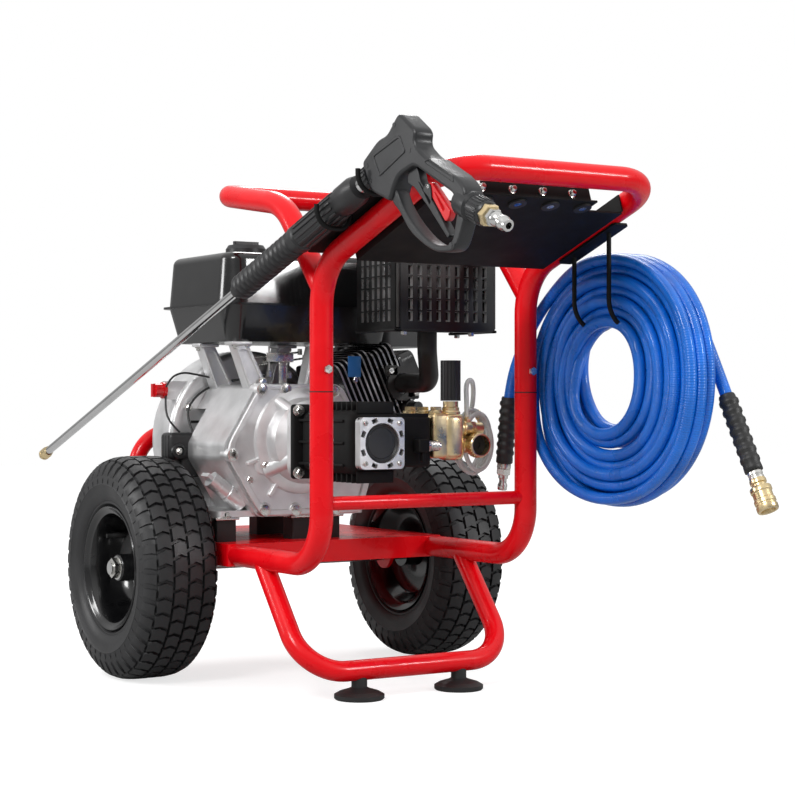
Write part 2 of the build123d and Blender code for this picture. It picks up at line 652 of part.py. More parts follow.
with BuildPart() as throttle_lever:
    add(round_tube([(167, 248, 478), (176, 248, 478)], [], 6))
    add(slab((171, 244, 478), (175, 252, 496)))
    add(slab((170, 242, 486), (192, 254, 494), 3))
save(throttle_lever.part, "throttle_lever")

with BuildPart() as choke_lever:
    add(round_tube([(167, 248, 450), (176, 248, 450)], [], 6))
    add(slab((171, 244, 432), (175, 252, 450)))
    add(slab((170, 242, 424), (190, 254, 433), 3))
save(choke_lever.part, "choke_lever")

# ---------------------------------------------------------------- engine mounts
with BuildPart() as engine_mounts:
    for y in (96, 206):
        add(slab((-180, y, BASE_TOP), (-147, y + 30, ENGINE_BASE_Z), 3))
        add(slab((-53, y, BASE_TOP), (30, y + 30, ENGINE_BASE_Z), 3))
save(engine_mounts.part, "engine_mounts")

# ---------------------------------------------------------------- pump
FLANGE = (PUMP_REAR, PUMP_REAR + 14)
FLANGE_BOLTS = [(dx, dz) for dx in (-45, 45) for dz in (-45, 45)]

with BuildPart() as pump_adapter:
    add(turned_along([(13.2, 0), (44, 0), (44, -22), (60, -32), (64, -46), (64, -60.7), (13.2, -60.7)],
                     (SHAFT_X, PUMP_REAR, SHAFT_Z), (0, -1, 0)))
    add(turned_along([(13.2 - 1, 5), (34, 5), (34, -20), (50, -34), (54, -62), (13.2 - 1, -62)],
                     (SHAFT_X, PUMP_REAR + 8, SHAFT_Z), (0, -1, 0)), mode=Mode.SUBTRACT)
    with BuildSketch(Plane(origin=(SHAFT_X, FLANGE[0], SHAFT_Z), x_dir=(1, 0, 0), z_dir=(0, -1, 0))):
        RectangleRounded(104, 104, 16)
        Circle(36, mode=Mode.SUBTRACT)
    extrude(amount=-10)
    for dx, dz in ((-58, -44), (58, 40), (-40, 56)):
        add(round_tube([(SHAFT_X + dx * 0.6, 40, SHAFT_Z + dz * 0.6), (SHAFT_X + dx, COVER_FRONT - 0.2, SHAFT_Z + dz)],
                       [], 11))
    add(slab((-300, COVER_FRONT - 0.2, 200), (200, 120, 500)), mode=Mode.SUBTRACT)
    add(along_y(33, -10, 74), mode=Mode.SUBTRACT)
save(pump_adapter.part, "pump_adapter")

PUMP_LOW = (-92.0, PUMP_FRONT, 309.0)
PUMP_HIGH = (-8.0, PUMP_REAR, 399.0)
MANIFOLD = ((45.0, -142.0, 326.0), (100.0, -34.0, 398.0))

with BuildPart() as pump_crankcase:
    add(slab(PUMP_LOW, PUMP_HIGH))
    fillet(pump_crankcase.edges().filter_by(Axis.Y), radius=20)
    with BuildSketch(Plane(origin=(SHAFT_X, PUMP_REAR - 0.1, SHAFT_Z), x_dir=(1, 0, 0), z_dir=(0, -1, 0))):
        RectangleRounded(108, 108, 16)
    extrude(amount=10)
    add(slab((-12, MANIFOLD[0][1] + 6, 318), (MANIFOLD[0][0] - 0.1, MANIFOLD[1][1] - 4, 390)))
    for step in range(9):
        y = PUMP_FRONT + 4 + 14 * step
        add(slab((-78, y, 396), (-22, y + 4, 411)))
        add(slab((-78, y, 297), (-22, y + 4, 312)))
    for dx, dz in FLANGE_BOLTS:
        add(along_y(3.6, -20, 20, SHAFT_X + dx, SHAFT_Z + dz), mode=Mode.SUBTRACT)
    add(along_y(13.2, -30, PUMP_REAR + 1), mode=Mode.SUBTRACT)
    add(along_y(40, PUMP_FRONT - 1, -32), mode=Mode.SUBTRACT)
save(pump_crankcase.part, "pump_crankcase")

with BuildPart() as pump_end_frame:
    with BuildSketch(Plane(origin=(SHAFT_X, PUMP_FRONT - 0.2, SHAFT_Z), x_dir=(1, 0, 0), z_dir=(0, -1, 0))):
        RectangleRounded(72, 72, 7)
    extrude(amount=6)
    with BuildSketch(Plane(origin=(SHAFT_X, PUMP_FRONT - 4, SHAFT_Z), x_dir=(1, 0, 0), z_dir=(0, -1, 0))):
        RectangleRounded(72, 72, 7)
        Circle(28, mode=Mode.SUBTRACT)
        with PolarLocations(33.5, 8, 22.5):
            Rectangle(6, 9, mode=Mode.SUBTRACT)
        with GridLocations(56, 56, 2, 2):
            Circle(3, mode=Mode.SUBTRACT)
    extrude(amount=10)
save(pump_end_frame.part, "pump_end_frame")

UNLOADER = (84.0, -90.0)
with BuildPart() as pump_manifold:
    add(slab(*MANIFOLD, 4))
    for y in (-124, -88, -52):
        add(round_tube([(62, y, 397), (62, y, 407)], [], 11))
    for y in (-88, -52):
        add(round_tube([(99, y, 350), (106, y, 350)], [], 10))
    add(round_tube([(UNLOADER[0], UNLOADER[1] - 34, 396), (UNLOADER[0], UNLOADER[1] - 34, 404)], [], 13))
save(pump_manifold.part, "pump_manifold")

KNOB = (UNLOADER[0], UNLOADER[1] - 34)
with BuildPart() as unloader_knob:
    with BuildSketch(Plane.XY.offset(412)):
        Circle(14.5)
        with PolarLocations(14.5, 18):
            Circle(1.0, mode=Mode.SUBTRACT)
    extrude(amount=58)
save(unloader_knob.part.moved(Location((KNOB[0], KNOB[1], 0))), "unloader_knob")

with BuildPart() as pump_ports:
    add(round_tube([(KNOB[0], KNOB[1], 407.2), (KNOB[0], KNOB[1], 411.7)], [], 12))
    add(round_tube([(100.2, -124, 372), (138, -124, 372)], [], 10.5))
    add(round_tube([(112, -124, 378), (112, -124, 388)], [], 8))
    add(round_tube([(112, -124, 386), (112, -124, 396)], [], 3.0))
    add(round_tube([(106.2, -124, 350), (121, -124, 350)], [], 10))
    add(turned_along([(0, -12), (12, -12), (12, 4), (16, 8), (16.5, 24), (14.5, 24), (14.5, 12), (0, 12)],
                     (121, -124, 348), (0, -1, 0)))
save(pump_ports.part, "pump_ports")

# ---------------------------------------------------------------- spray gun
BODY = [(-475, 757), (-515, 730), (-509, 712), (-530, 697), (-600, 664), (-619, 650), (-605, 612), (-590, 583),
        (-549, 584), (-519, 597), (-491, 614), (-469, 640), (-453, 650), (-412, 668), (-390, 705), (-428, 729),
        (-448, 732)]
FINGERS = [(-463, 668), (-475, 681), (-508, 690), (-590, 650), (-596, 630), (-583, 591), (-549, 592), (-523, 605),
           (-497, 624), (-475, 646)]
TRIGGER_PIN = (-492.0, 692.0)
LATCH_PIN = (-528.0, 663.0)


def side_shape(points, width, x=LANCE_X, radius=0.0):
    """A plate with the given outline in the gun's plane, of even thickness about it."""
    with BuildPart() as piece:
        with BuildSketch(Plane.YZ.offset(x - width / 2)):
            with BuildLine():
                if radius:
                    FilletPolyline(*points, radius=radius, close=True)
                else:
                    Polyline(*points, close=True)
            make_face()
        extrude(amount=width)
    return piece.part


UP = Vector(0, -cos(radians(LANCE_SLOPE)), sin(radians(LANCE_SLOPE)))
LANCE = Vector(*LANCE_END)


def on_lance(y):
    """Point of the lance's axis at a given Y."""
    return tuple(LANCE + UP * ((LANCE_END[1] - y) / cos(radians(LANCE_SLOPE))))


INLET = Vector(0, -80, -32).normalized()
INLET_AT = Vector(LANCE_X, -612, 633)

with BuildPart() as gun_body:
    add(side_shape(BODY, GUN_WIDTH, radius=5))
    add(side_shape(FINGERS, GUN_WIDTH + 2, radius=4), mode=Mode.SUBTRACT)
    slot = [(-474, 704), (-508, 702), (-518, 684), (-478, 664)]
    add(side_shape(slot, 11), mode=Mode.SUBTRACT)
    add(round_tube([(LANCE_X - 7, *TRIGGER_PIN), (LANCE_X + 7, *TRIGGER_PIN)], [], 2.2))
    add(round_tube([tuple(INLET_AT + INLET * 5), tuple(INLET_AT - INLET * 21)], [], 8), mode=Mode.SUBTRACT)
    add(round_tube([on_lance(-370), on_lance(-414)], [], LANCE_R + RUN), mode=Mode.SUBTRACT)
save(gun_body.part, "gun_body")

LEVER = [(-485, 696), (-492, 698.5), (-499, 696), (-506, 681), (-507, 673), (-538, 642), (-574, 602), (-570, 600),
         (-531, 638), (-500, 664), (-485, 671)]
FORK = [(-516, 658), (-524, 667), (-531, 666.5), (-533, 661), (-536, 644)]
with BuildPart() as gun_trigger:
    add(side_shape(LEVER, 10.2))
    for x in (LANCE_X - 5.5, LANCE_X + 5.5):
        add(side_shape(FORK, 2, x))
    add(round_tube([(LANCE_X - 6, *LATCH_PIN), (LANCE_X + 6, *LATCH_PIN)], [], 1.4))
    add(round_tube([(LANCE_X - 8, *TRIGGER_PIN), (LANCE_X + 8, *TRIGGER_PIN)], [], 2.5), mode=Mode.SUBTRACT)
save(gun_trigger.part, "gun_trigger")

LATCH = [(-520, 661), (-526, 656), (-562, 618), (-566, 624), (-534, 664)]
with BuildPart() as safety_latch:
    add(side_shape([(y, z + 3.5) for y, z in LATCH], 8))
    add(round_tube([(LANCE_X - 8, *LATCH_PIN), (LANCE_X + 8, *LATCH_PIN)], [], 1.7), mode=Mode.SUBTRACT)
save(safety_latch.part, "safety_latch")

with BuildPart() as gun_inlet:
    add(round_tube([tuple(INLET_AT - INLET * 20), tuple(INLET_AT + INLET * 6)], [], 7.8))
    add(turned_along([(0, 4), (14.5, 4), (16, 6), (16, 30), (14, 33), (0, 33)], INLET_AT, INLET))
    with BuildSketch(Plane(origin=INLET_AT + INLET * 33, z_dir=tuple(INLET))):
        RegularPolygon(13, 6)
    extrude(amount=14)
    add(turned_along([(0, 47), (8.5, 47), (8.5, 53), (6.5, 55), (6.5, 58), (8.5, 60), (8.5, 66), (7, 68), (7, 74.6),
                      (4, 74.6), (4, 50), (0, 50)], INLET_AT, INLET))
save(gun_inlet.part, "gun_inlet")

GRIP_ENDS = (-35.0, -368.0)
with BuildPart() as lance_tube:
    add(round_tube([on_lance(LANCE_END[1]), on_lance(-413)], [], LANCE_R))
    add(round_tube([on_lance(-391), on_lance(-372)], [], 11))
save(lance_tube.part, "lance_tube")

with BuildPart() as lance_grip:
    length = (GRIP_ENDS[0] - GRIP_ENDS[1]) / cos(radians(LANCE_SLOPE))
    split = 178.0
    profile = [(LANCE_R + RUN, 0), (9, 0), (12, 8)]
    for rib in range(14):
        profile += [(18, 10 + 12 * rib), (18, 17 + 12 * rib), (15.5, 18.5 + 12 * rib), (15.5, 20.5 + 12 * rib)]
    profile += [(19.5, split), (19.5, length - 18), (17, length), (LANCE_R + RUN, length)]
    add(turned_along(profile, on_lance(GRIP_ENDS[0]), UP))
save(lance_grip.part, "lance_grip")

with BuildPart() as lance_nozzle:
    add(turned_along([(0, -32), (5, -32), (6, -24), (9.5, -22), (9.5, -8), (8, -6), (8, -0.2), (0, -0.2)],
                     LANCE_END, UP))
save(lance_nozzle.part, "lance_nozzle")

# ---------------------------------------------------------------- high-pressure hose, hung on its hooks
COIL_OUTER = (184.0, 177.0)
COIL_HOLE = (132.0, 136.0)
COIL_NEAR_X = 188.0
COIL_FAR_X = 250.0

with BuildPart() as hose_coil:
    with BuildSketch(Plane.YZ.offset(COIL_NEAR_X)):
        with Locations((COIL_Y, COIL_Z)):
            Ellipse(*COIL_OUTER)
        with Locations((COIL_Y, HOSE_HOOK_LOW + HOOK_WIRE_R + GAP - COIL_HOLE[1] / 2)):
            RectangleRounded(*COIL_HOLE, 26, mode=Mode.SUBTRACT)
    extrude(amount=COIL_FAR_X - COIL_NEAR_X)
    fillet(hose_coil.faces().sort_by(Axis.X)[-1].edges(), radius=10)
    for y in HOSE_HOOK_Y:
        add(round_tube(hose_hook_route(y), [HOSE_HOOK_R - 0.5] * 2, HOOK_WIRE_R + 0.6), mode=Mode.SUBTRACT)
save(hose_coil.part, "hose_coil")

FRONT_ROUTE = [(259.5, -452, 528), (262, -480, 474), (264, -507, 419)]
FRONT_END = (264, -560, 320)
REAR_ROUTE = [(204, -166, 532), (196, -128, 465), (191, -120, 418)]
REAR_END = (191, -107, 320)


def bend_radius(points):
    """0.45 of the shorter run, divided by the tangent of half the turn."""
    before = Vector(*points[1]) - Vector(*points[0])
    after = Vector(*points[2]) - Vector(*points[1])
    turn = before.get_angle(after)
    return 0.45 * min(before.length, after.length) / tan(radians(turn / 2))


with BuildPart() as hose_leads:
    for route in (FRONT_ROUTE, REAR_ROUTE):
        radius = bend_radius(route)
        print("hose bend radius", round(radius, 1))
        add(round_tube(route, [radius], HOSE_R))
save(hose_leads.part, "hose_leads")

COUPLER = [(0, 0.4), (10.5, 0.4), (10.5, 16), (12, 18), (14.5, 20), (14.5, 56), (10, 56), (10, 30), (0, 30)]
PLUG = [(0, 0.4), (10.5, 0.4), (10.5, 14), (7, 16), (7, 24), (5.5, 26), (5.5, 30), (7, 33), (7, 40), (0, 40)]

with BuildPart() as hose_ends:
    for route, end, fitting in ((FRONT_ROUTE, FRONT_END, COUPLER), (REAR_ROUTE, REAR_END, PLUG)):
        way = (Vector(*end) - Vector(*route[-1])).normalized()
        length = (Vector(*end) - Vector(*route[-1])).length
        add(turned_along([(0, 1), (10, 1), (12.4, 12), (12.4, length), (0, length)], route[-1], way))
        add(turned_along(fitting, end, way))
save(hose_ends.part, "hose_ends")

# ---------------------------------------------------------------- clear detergent tube
CLEAR_COIL = (142.0, -99.0, 352.0)
CLEAR_SIZE = (33.0, 50.0, 26.0)      # half width, half height and depth of the hank

with BuildPart() as detergent_coil:
    with BuildSketch(Plane(origin=CLEAR_COIL, x_dir=(1, 0, 0), z_dir=(0, -1, 0))):
        Ellipse(CLEAR_SIZE[0], CLEAR_SIZE[1])
        Ellipse(CLEAR_SIZE[0] - 14, CLEAR_SIZE[1] - 14, mode=Mode.SUBTRACT)
    extrude(amount=CLEAR_SIZE[2] / 2, both=True)
save(detergent_coil.part, "detergent_coil")

CLEAR_ROUTE = [(112, -124, 396.2), (112, -122, 436), (138, -104, 436), (142, -100, 402.7)]
with BuildPart() as detergent_lead:
    bends = [bend_radius(CLEAR_ROUTE[i:i + 3]) for i in range(2)]
    print("detergent tube bend radii", [round(r, 1) for r in bends])
    add(round_tube(CLEAR_ROUTE, bends, TUBE_CLEAR_R))
save(detergent_lead.part, "detergent_lead")

# ---------------------------------------------------------------- fasteners
with BuildPart() as fasteners:
    for dx, dz in COVER_BOLTS:
        add(hex_bolt((SHAFT_X + dx, COVER_FRONT - 0.1, SHAFT_Z + dz), (0, -1, 0), 6.5, 5, 18))
    for side in (-1, 1):
        add(hex_bolt((side * FRAME_X, UPRIGHT_Y - TUBE_R - 0.1, SEAM_Z + 30), (0, -1, 0), 6, 4, 0))
        for step in (-75, -160):
            spot = LEG.from_local_coords((side * 149.8, step, TRAY_LOW + 14))
            add(hex_bolt(tuple(spot), (-side, 0, 0), 6, 4, 0))
        add(hex_bolt((side * (HUB_OUTER + 0.8), AXLE_Y, AXLE_Z), (side, 0, 0), 15, 9, 0))
    add(round_tube([(-310, AXLE_Y, AXLE_Z), (310, AXLE_Y, AXLE_Z)], [], AXLE_R + RUN), mode=Mode.SUBTRACT)
    for dx, dz in FLANGE_BOLTS:
        add(hex_bolt((SHAFT_X + dx, PUMP_REAR - 10.3, SHAFT_Z + dz), (0, -1, 0), 7.5, 6, 8))
save(fasteners.part, "fasteners")
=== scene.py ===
"""Looks of the gas pressure washer: cords, treaded tyres, gun, pump and engine details, materials and light.

Lengths in the tables below are millimetres in the row frame, and mm() turns them into metres.
"""
import json
import random
from math import cos, pi, radians, sin, sqrt

import bmesh
import bpy
from mathutils import Matrix, Vector


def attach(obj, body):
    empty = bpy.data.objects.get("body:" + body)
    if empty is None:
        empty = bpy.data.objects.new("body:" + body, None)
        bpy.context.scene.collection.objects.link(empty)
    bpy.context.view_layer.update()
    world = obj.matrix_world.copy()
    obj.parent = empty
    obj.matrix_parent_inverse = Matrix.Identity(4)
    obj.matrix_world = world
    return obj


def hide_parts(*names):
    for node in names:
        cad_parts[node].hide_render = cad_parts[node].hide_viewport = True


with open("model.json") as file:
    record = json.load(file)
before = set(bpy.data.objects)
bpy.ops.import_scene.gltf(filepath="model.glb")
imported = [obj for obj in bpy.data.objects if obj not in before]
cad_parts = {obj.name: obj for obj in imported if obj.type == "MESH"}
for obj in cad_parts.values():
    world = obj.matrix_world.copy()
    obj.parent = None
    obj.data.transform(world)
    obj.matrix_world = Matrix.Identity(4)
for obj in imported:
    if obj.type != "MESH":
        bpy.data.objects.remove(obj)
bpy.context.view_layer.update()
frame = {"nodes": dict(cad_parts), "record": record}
RANDOM = random.Random(7)
FRONT, RIGHT, UP = (0, -1, 0), (1, 0, 0), (0, 0, 1)


# -------- helpers
def mm(*xyz):
    """A point given in millimetres, in metres."""
    return Vector(xyz) / 1000


def placed(name, data, material, body):
    """Links a mesh or curve as a piece with one finish that rides on a body."""
    obj = bpy.data.objects.new(name, data)
    bpy.context.scene.collection.objects.link(obj)
    data.materials.append(material)
    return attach(obj, body)


def made(name, mesh, material, body, smooth=40):
    """Makes a piece of a mesh; faces that meet within `smooth` degrees shade as one."""
    mesh.shade_smooth()
    mesh.set_sharp_from_angle(angle=radians(smooth))
    return placed(name, mesh, material, body)


def from_bmesh(name, bm, material, body="frame", smooth=40):
    """Makes a piece of a bmesh whose lengths are millimetres."""
    bmesh.ops.recalc_face_normals(bm, faces=bm.faces)
    bmesh.ops.scale(bm, vec=(0.001, 0.001, 0.001), verts=bm.verts)
    mesh = bpy.data.meshes.new(name)
    bm.to_mesh(mesh)
    bm.free()
    return made(name, mesh, material, body, smooth)


def along(axis):
    """Rotation that turns +Z to the axis."""
    return Vector(axis).to_track_quat("Z", "Y").to_matrix().to_4x4()


def lathe(bm, profile, origin, axis, steps=64):
    """Adds a turned form: profile is (radius, height) along axis from origin; its ends close at the axis or join."""
    turn = Matrix.Translation(Vector(origin)) @ along(axis)
    rings = []
    for r, h in profile:
        if r < 1e-6:
            rings.append([bm.verts.new(turn @ Vector((0, 0, h)))])
        else:
            rings.append([bm.verts.new(turn @ Vector((r * cos(2 * pi * i / steps), r * sin(2 * pi * i / steps), h)))
                          for i in range(steps)])
    pairs = list(zip(rings, rings[1:]))
    if len(rings[0]) > 1 and len(rings[-1]) > 1:
        pairs.append((rings[-1], rings[0]))
    for a, b in pairs:
        if len(a) == 1 and len(b) == 1:
            continue
        for i in range(steps):
            j = (i + 1) % steps
            corners = [a[i % len(a)], a[j % len(a)], b[j % len(b)], b[i % len(b)]]
            bm.faces.new(list(dict.fromkeys(corners)))


def disc(bm, radius, low, high, origin, axis, steps=64):
    """Adds a plain cylinder between two heights along axis."""
    lathe(bm, [(0, low), (radius, low), (radius, high), (0, high)], origin, axis, steps)


def block(bm, low, high, bevel=1.0, turn=None):
    """Adds a box between two corners with rounded edges; turn is a matrix put on it last."""
    low, high = Vector(low), Vector(high)
    part = bmesh.new()
    bmesh.ops.create_cube(part, size=1)
    for v in part.verts:
        v.co = Vector([(a + b) / 2 + c * (b - a) for a, b, c in zip(low, high, v.co)])
    if bevel:
        bmesh.ops.bevel(part, geom=part.edges, offset=bevel, segments=3, profile=0.5, affect="EDGES")
    if turn:
        bmesh.ops.transform(part, matrix=turn, verts=part.verts)
    join(bm, part)


def join(bm, part):
    """Adds the geometry of one bmesh to another and frees it."""
    kept = {v: bm.verts.new(v.co) for v in part.verts}
    for f in part.faces:
        bm.faces.new([kept[v] for v in f.verts])
    part.free()


def spoke(origin, axis, number, count):
    """Matrix that puts a form drawn on +X and +Z at one of count even turns about an axis."""
    return Matrix.Translation(Vector(origin)) @ along(axis) @ Matrix.Rotation(2 * pi * number / count, 4, "Z")


def hexagon(bm, origin, axis, across, height, chamfer=0.8):
    """Adds a hexagonal head with a chamfered top."""
    r = across / sqrt(3)
    lathe(bm, [(0, 0), (r, 0), (r, height - chamfer), (r - 1.2 * chamfer, height), (0, height)], origin, axis, 6)


def rounded(points, radius, steps=5):
    """A closed outline with each corner rounded by at most radius."""
    result = []
    count = len(points)
    for i, point in enumerate(points):
        here = Vector(point)
        before, after = Vector(points[i - 1]), Vector(points[(i + 1) % count])
        cut_in = here + (before - here).normalized() * min(radius, 0.45 * (before - here).length)
        cut_out = here + (after - here).normalized() * min(radius, 0.45 * (after - here).length)
        for k in range(steps + 1):
            t = k / steps
            result.append(cut_in * (1 - t) ** 2 + here * 2 * t * (1 - t) + cut_out * t * t)
    return result


def plate(name, outlines, thickness, bevel, place, material, body):
    """A flat piece with the given outlines, in the plane of place; outlines inside others are holes."""
    curve = bpy.data.curves.new(name, "CURVE")
    curve.dimensions = "2D"
    curve.fill_mode = "BOTH"
    curve.extrude = thickness / 2000 - bevel / 1000
    curve.bevel_depth = bevel / 1000
    curve.bevel_resolution = 2
    curve.offset = -bevel / 1000
    for outline in outlines:
        spline = curve.splines.new("POLY")
        spline.points.add(len(outline) - 1)
        for point, (u, v) in zip(spline.points, outline):
            point.co = (u / 1000, v / 1000, 0, 1)
        spline.use_cyclic_u = True
    source = bpy.data.objects.new(name + "_outline", curve)
    bpy.context.scene.collection.objects.link(source)
    mesh = bpy.data.meshes.new_from_object(source.evaluated_get(bpy.context.evaluated_depsgraph_get()))
    bpy.data.objects.remove(source)
    mesh.transform(place)
    mesh.materials.clear()
    return made(name, mesh, material, body)


def upright_plane(x):
    """Plane at x whose (u, v) are (Y, Z)."""
    return Matrix(((0, 0, 1, x / 1000), (1, 0, 0, 0), (0, 1, 0, 0), (0, 0, 0, 1)))


def front_plane(y):
    """Plane at y whose (u, v) are (X, Z)."""
    return Matrix(((1, 0, 0, 0), (0, 0, -1, y / 1000), (0, 1, 0, 0), (0, 0, 0, 1)))


def wire(name, points, radius, material, body, smooth=True):
    """A smooth round wire or cable with control points in millimetres.

    Its thickness is the points' radius times a bevel of 1, because a curve's box grows by that radius.
    """
    curve = bpy.data.curves.new(name, "CURVE")
    curve.dimensions = "3D"
    curve.bevel_depth = 1
    curve.bevel_resolution = 4
    curve.resolution_u = 8
    curve.use_fill_caps = True
    spline = curve.splines.new("NURBS" if smooth else "POLY")
    spline.points.add(len(points) - 1)
    for target, point in zip(spline.points, points):
        target.co = (*mm(*point), 1)
        target.radius = radius / 1000
    if smooth:
        spline.order_u = 3
        spline.use_endpoint_u = True
    return placed(name, curve, material, body)


def set_inputs(node, **values):
    """Sets inputs of a shader node, where _ stands for the space in an input's name, and returns the node."""
    for name, value in values.items():
        node.inputs[name.replace("_", " ")].default_value = value
    return node


def added(nodes, kind, **values):
    """Adds a shader node with its inputs set."""
    return set_inputs(nodes.new("ShaderNode" + kind), **values)


def link(source, output, target, entry):
    """Links an output of one shader node to an input of another."""
    source.id_data.links.new(source.outputs[output], target.inputs[entry])


def surface(name, colour, roughness, metallic=0.0, coat=0.0, vary=0.12, vary_scale=25.0, grain=0.0,
            grain_scale=900.0, rough_vary=0.08, coat_roughness=0.06, specular=0.5):
    """A finish with uneven colour and roughness, and a fine surface grain whose depth is in metres."""
    material = bpy.data.materials.new(name)
    material.use_nodes = True
    nodes = material.node_tree.nodes
    shader = set_inputs(nodes["Principled BSDF"], Metallic=metallic, Coat_Weight=coat,
                        Coat_Roughness=coat_roughness, Specular_IOR_Level=specular)
    place = added(nodes, "TexCoord")
    patches = added(nodes, "TexNoise", Scale=vary_scale, Detail=6)
    link(place, "Object", patches, "Vector")
    tint = added(nodes, "ValToRGB")
    tint.color_ramp.elements[0].position = 0.3
    tint.color_ramp.elements[1].position = 0.7
    tint.color_ramp.elements[0].color = (*[c * (1 - vary) for c in colour], 1)
    tint.color_ramp.elements[1].color = (*[min(1, c * (1 + vary)) for c in colour], 1)
    link(patches, "Fac", tint, "Fac")
    link(tint, "Color", shader, "Base Color")
    dull = added(nodes, "MapRange", From_Min=0.3, From_Max=0.7,
                 To_Min=max(0.02, roughness - rough_vary), To_Max=roughness + rough_vary)
    link(patches, "Fac", dull, "Value")
    link(dull, "Result", shader, "Roughness")
    if grain:
        pits = added(nodes, "TexNoise", Scale=grain_scale, Detail=3)
        link(place, "Object", pits, "Vector")
        bump = added(nodes, "Bump", Distance=grain, Strength=0.6)
        link(pits, "Fac", bump, "Height")
        link(bump, "Normal", shader, "Normal")
    return material


def blue_hose_material(length, rib_pitch):
    """Glossy blue cover whose fine ribs run round the hose."""
    material = surface("blue_hose", (0.002, 0.155, 0.68), 0.3, coat=0.3, vary=0.2, vary_scale=18)
    nodes = material.node_tree.nodes
    shader = nodes["Principled BSDF"]
    place = added(nodes, "TexCoord")
    split = added(nodes, "SeparateXYZ")
    link(place, "UV", split, "Vector")
    turns = added(nodes, "Math")
    turns.operation = "MULTIPLY"
    turns.inputs[1].default_value = 2 * pi * length / rib_pitch
    link(split, "X", turns, 0)
    wave = added(nodes, "Math")
    wave.operation = "SINE"
    link(turns, 0, wave, 0)
    bump = added(nodes, "Bump", Distance=0.0004, Strength=0.5)
    link(wave, 0, bump, "Height")
    link(bump, "Normal", shader, "Normal")
    return material


def clear_material():
    """Clear vinyl with a slight milky tint."""
    material = surface("clear_tube", (0.86, 0.88, 0.87), 0.12, vary=0.03)
    set_inputs(material.node_tree.nodes["Principled BSDF"], Transmission_Weight=0.5, IOR=1.3)
    return material


M = {
    "tyre": surface("tyre", (0.011, 0.011, 0.012), 0.48, vary=0.35, grain=0.00025, grain_scale=500),
    "red_frame": surface("red_frame", (0.76, 0.0012, 0.006), 0.3, coat=0.25, vary=0.05, grain=0.00006,
        grain_scale=260, coat_roughness=0.07, specular=0.2),
    "black_paint": surface("black_paint", (0.004, 0.004, 0.0045), 0.2, coat=0.4, vary=0.2, grain=0.00005,
        grain_scale=240),
    "cast_aluminium": surface("cast_aluminium", (0.74, 0.74, 0.745), 0.36, metallic=0.75, vary=0.1, vary_scale=35,
        grain=0.0004, grain_scale=700),
    "machined_steel": surface("machined_steel", (0.60, 0.60, 0.59), 0.24, metallic=1, vary=0.08),
    "zinc_fastener": surface("zinc_fastener", (0.66, 0.65, 0.62), 0.26, metallic=1, vary=0.15, vary_scale=120),
    "stainless": surface("stainless", (0.62, 0.62, 0.62), 0.13, metallic=1, vary=0.06),
    "brass": surface("brass", (0.74, 0.59, 0.34), 0.31, metallic=1, vary=0.14, vary_scale=60, grain=0.00006),
    "black_plastic": surface("black_plastic", (0.014, 0.014, 0.015), 0.42, vary=0.2, grain=0.00012,
        grain_scale=1400),
    "gloss_black_plastic": surface("gloss_black_plastic", (0.014, 0.0145, 0.016), 0.38, vary=0.18, grain=0.00012,
        grain_scale=1700),
    "red_plastic": surface("red_plastic", (0.62, 0.006, 0.01), 0.3, vary=0.08, coat=0.3),
    "black_rubber": surface("black_rubber", (0.013, 0.013, 0.013), 0.5, vary=0.25, grain=0.0002, grain_scale=700),
    "nozzle_colours": surface("nozzle_colours", (0.62, 0.62, 0.61), 0.25, metallic=1, vary=0.1, vary_scale=80),
    "heat_black": surface("heat_black", (0.004, 0.004, 0.004), 0.36, vary=0.3, grain=0.0001, grain_scale=800,
        specular=0.3),
    "exhaust_steel": surface("exhaust_steel", (0.028, 0.027, 0.026), 0.42, metallic=0.4, vary=0.35, vary_scale=40,
        grain=0.0002),
    "white_ceramic": surface("white_ceramic", (0.02, 0.02, 0.02), 0.4, vary=0.1),
}
ZINC = M["zinc_fastener"]
HOSE_LENGTH = 15.24
M["blue_hose"] = blue_hose_material(HOSE_LENGTH, 0.0026)
M["clear_tube"] = clear_material()
BLACK_FIN = surface("black_paint.fins", (0.006, 0.006, 0.007), 0.3, coat=0.3, vary=0.2, grain=0.0001,
        grain_scale=700)
# Painted highlight: grey metal on the edges of the black cylinder fins stands for light caught on them.
FIN_EDGE_HIGHLIGHT = surface("black_paint.painted_edge_highlight", (0.42, 0.42, 0.43), 0.35, metallic=0.7, vary=0.2)
MATT_BLACK = surface("black_paint.matt", (0.005, 0.005, 0.005), 0.62, vary=0.1, specular=0.2)
# Painted highlight: grey metal on the rims of the black guard's slots stands for light caught on their edges.
SLOT_EDGE_HIGHLIGHT = surface("heat_black.painted_edge_highlight", (0.45, 0.45, 0.45), 0.3, metallic=0.8, vary=0.3)
BLUE_TAG = surface("gloss_black_plastic.tag", (0.02, 0.12, 0.34), 0.3, vary=0.1)
# Near-black: the dark tube seams and the inlet washer, and painted shade for the openings of the recoil housing.
DARK = surface("black_plastic.dark", (0.003, 0.003, 0.003), 0.6, vary=0.1)

for part in frame["record"]["subparts"]:
    node = frame["nodes"][part["node"]]
    node.data.materials.clear()
    node.data.materials.append(M[part["material_slot"]])
for name in ("nozzle_tray", "hose_hook", "lance_hook"):
    frame["nodes"][name].data.materials.clear()
    frame["nodes"][name].data.materials.append(MATT_BLACK)
CYLINDER = Vector((cos(radians(25)), 0, sin(radians(25))))
for name in ("cylinder_barrel", "cylinder_head", "valve_cover"):
    mesh = frame["nodes"][name].data
    mesh.materials.clear()
    mesh.materials.append(BLACK_FIN)
    mesh.materials.append(FIN_EDGE_HIGHLIGHT)
    # Fin edges (faces across the cylinder axis, 1 to 3.5 mm thick) take the painted highlight.
    for face in mesh.polygons:
        spots = [mesh.vertices[v].co.dot(CYLINDER) for v in face.vertices]
        thick = max(spots) - min(spots)
        face.material_index = int(name != "valve_cover" and abs(face.normal.dot(CYLINDER)) < 0.1
                                  and 0.001 < thick < 0.0035)

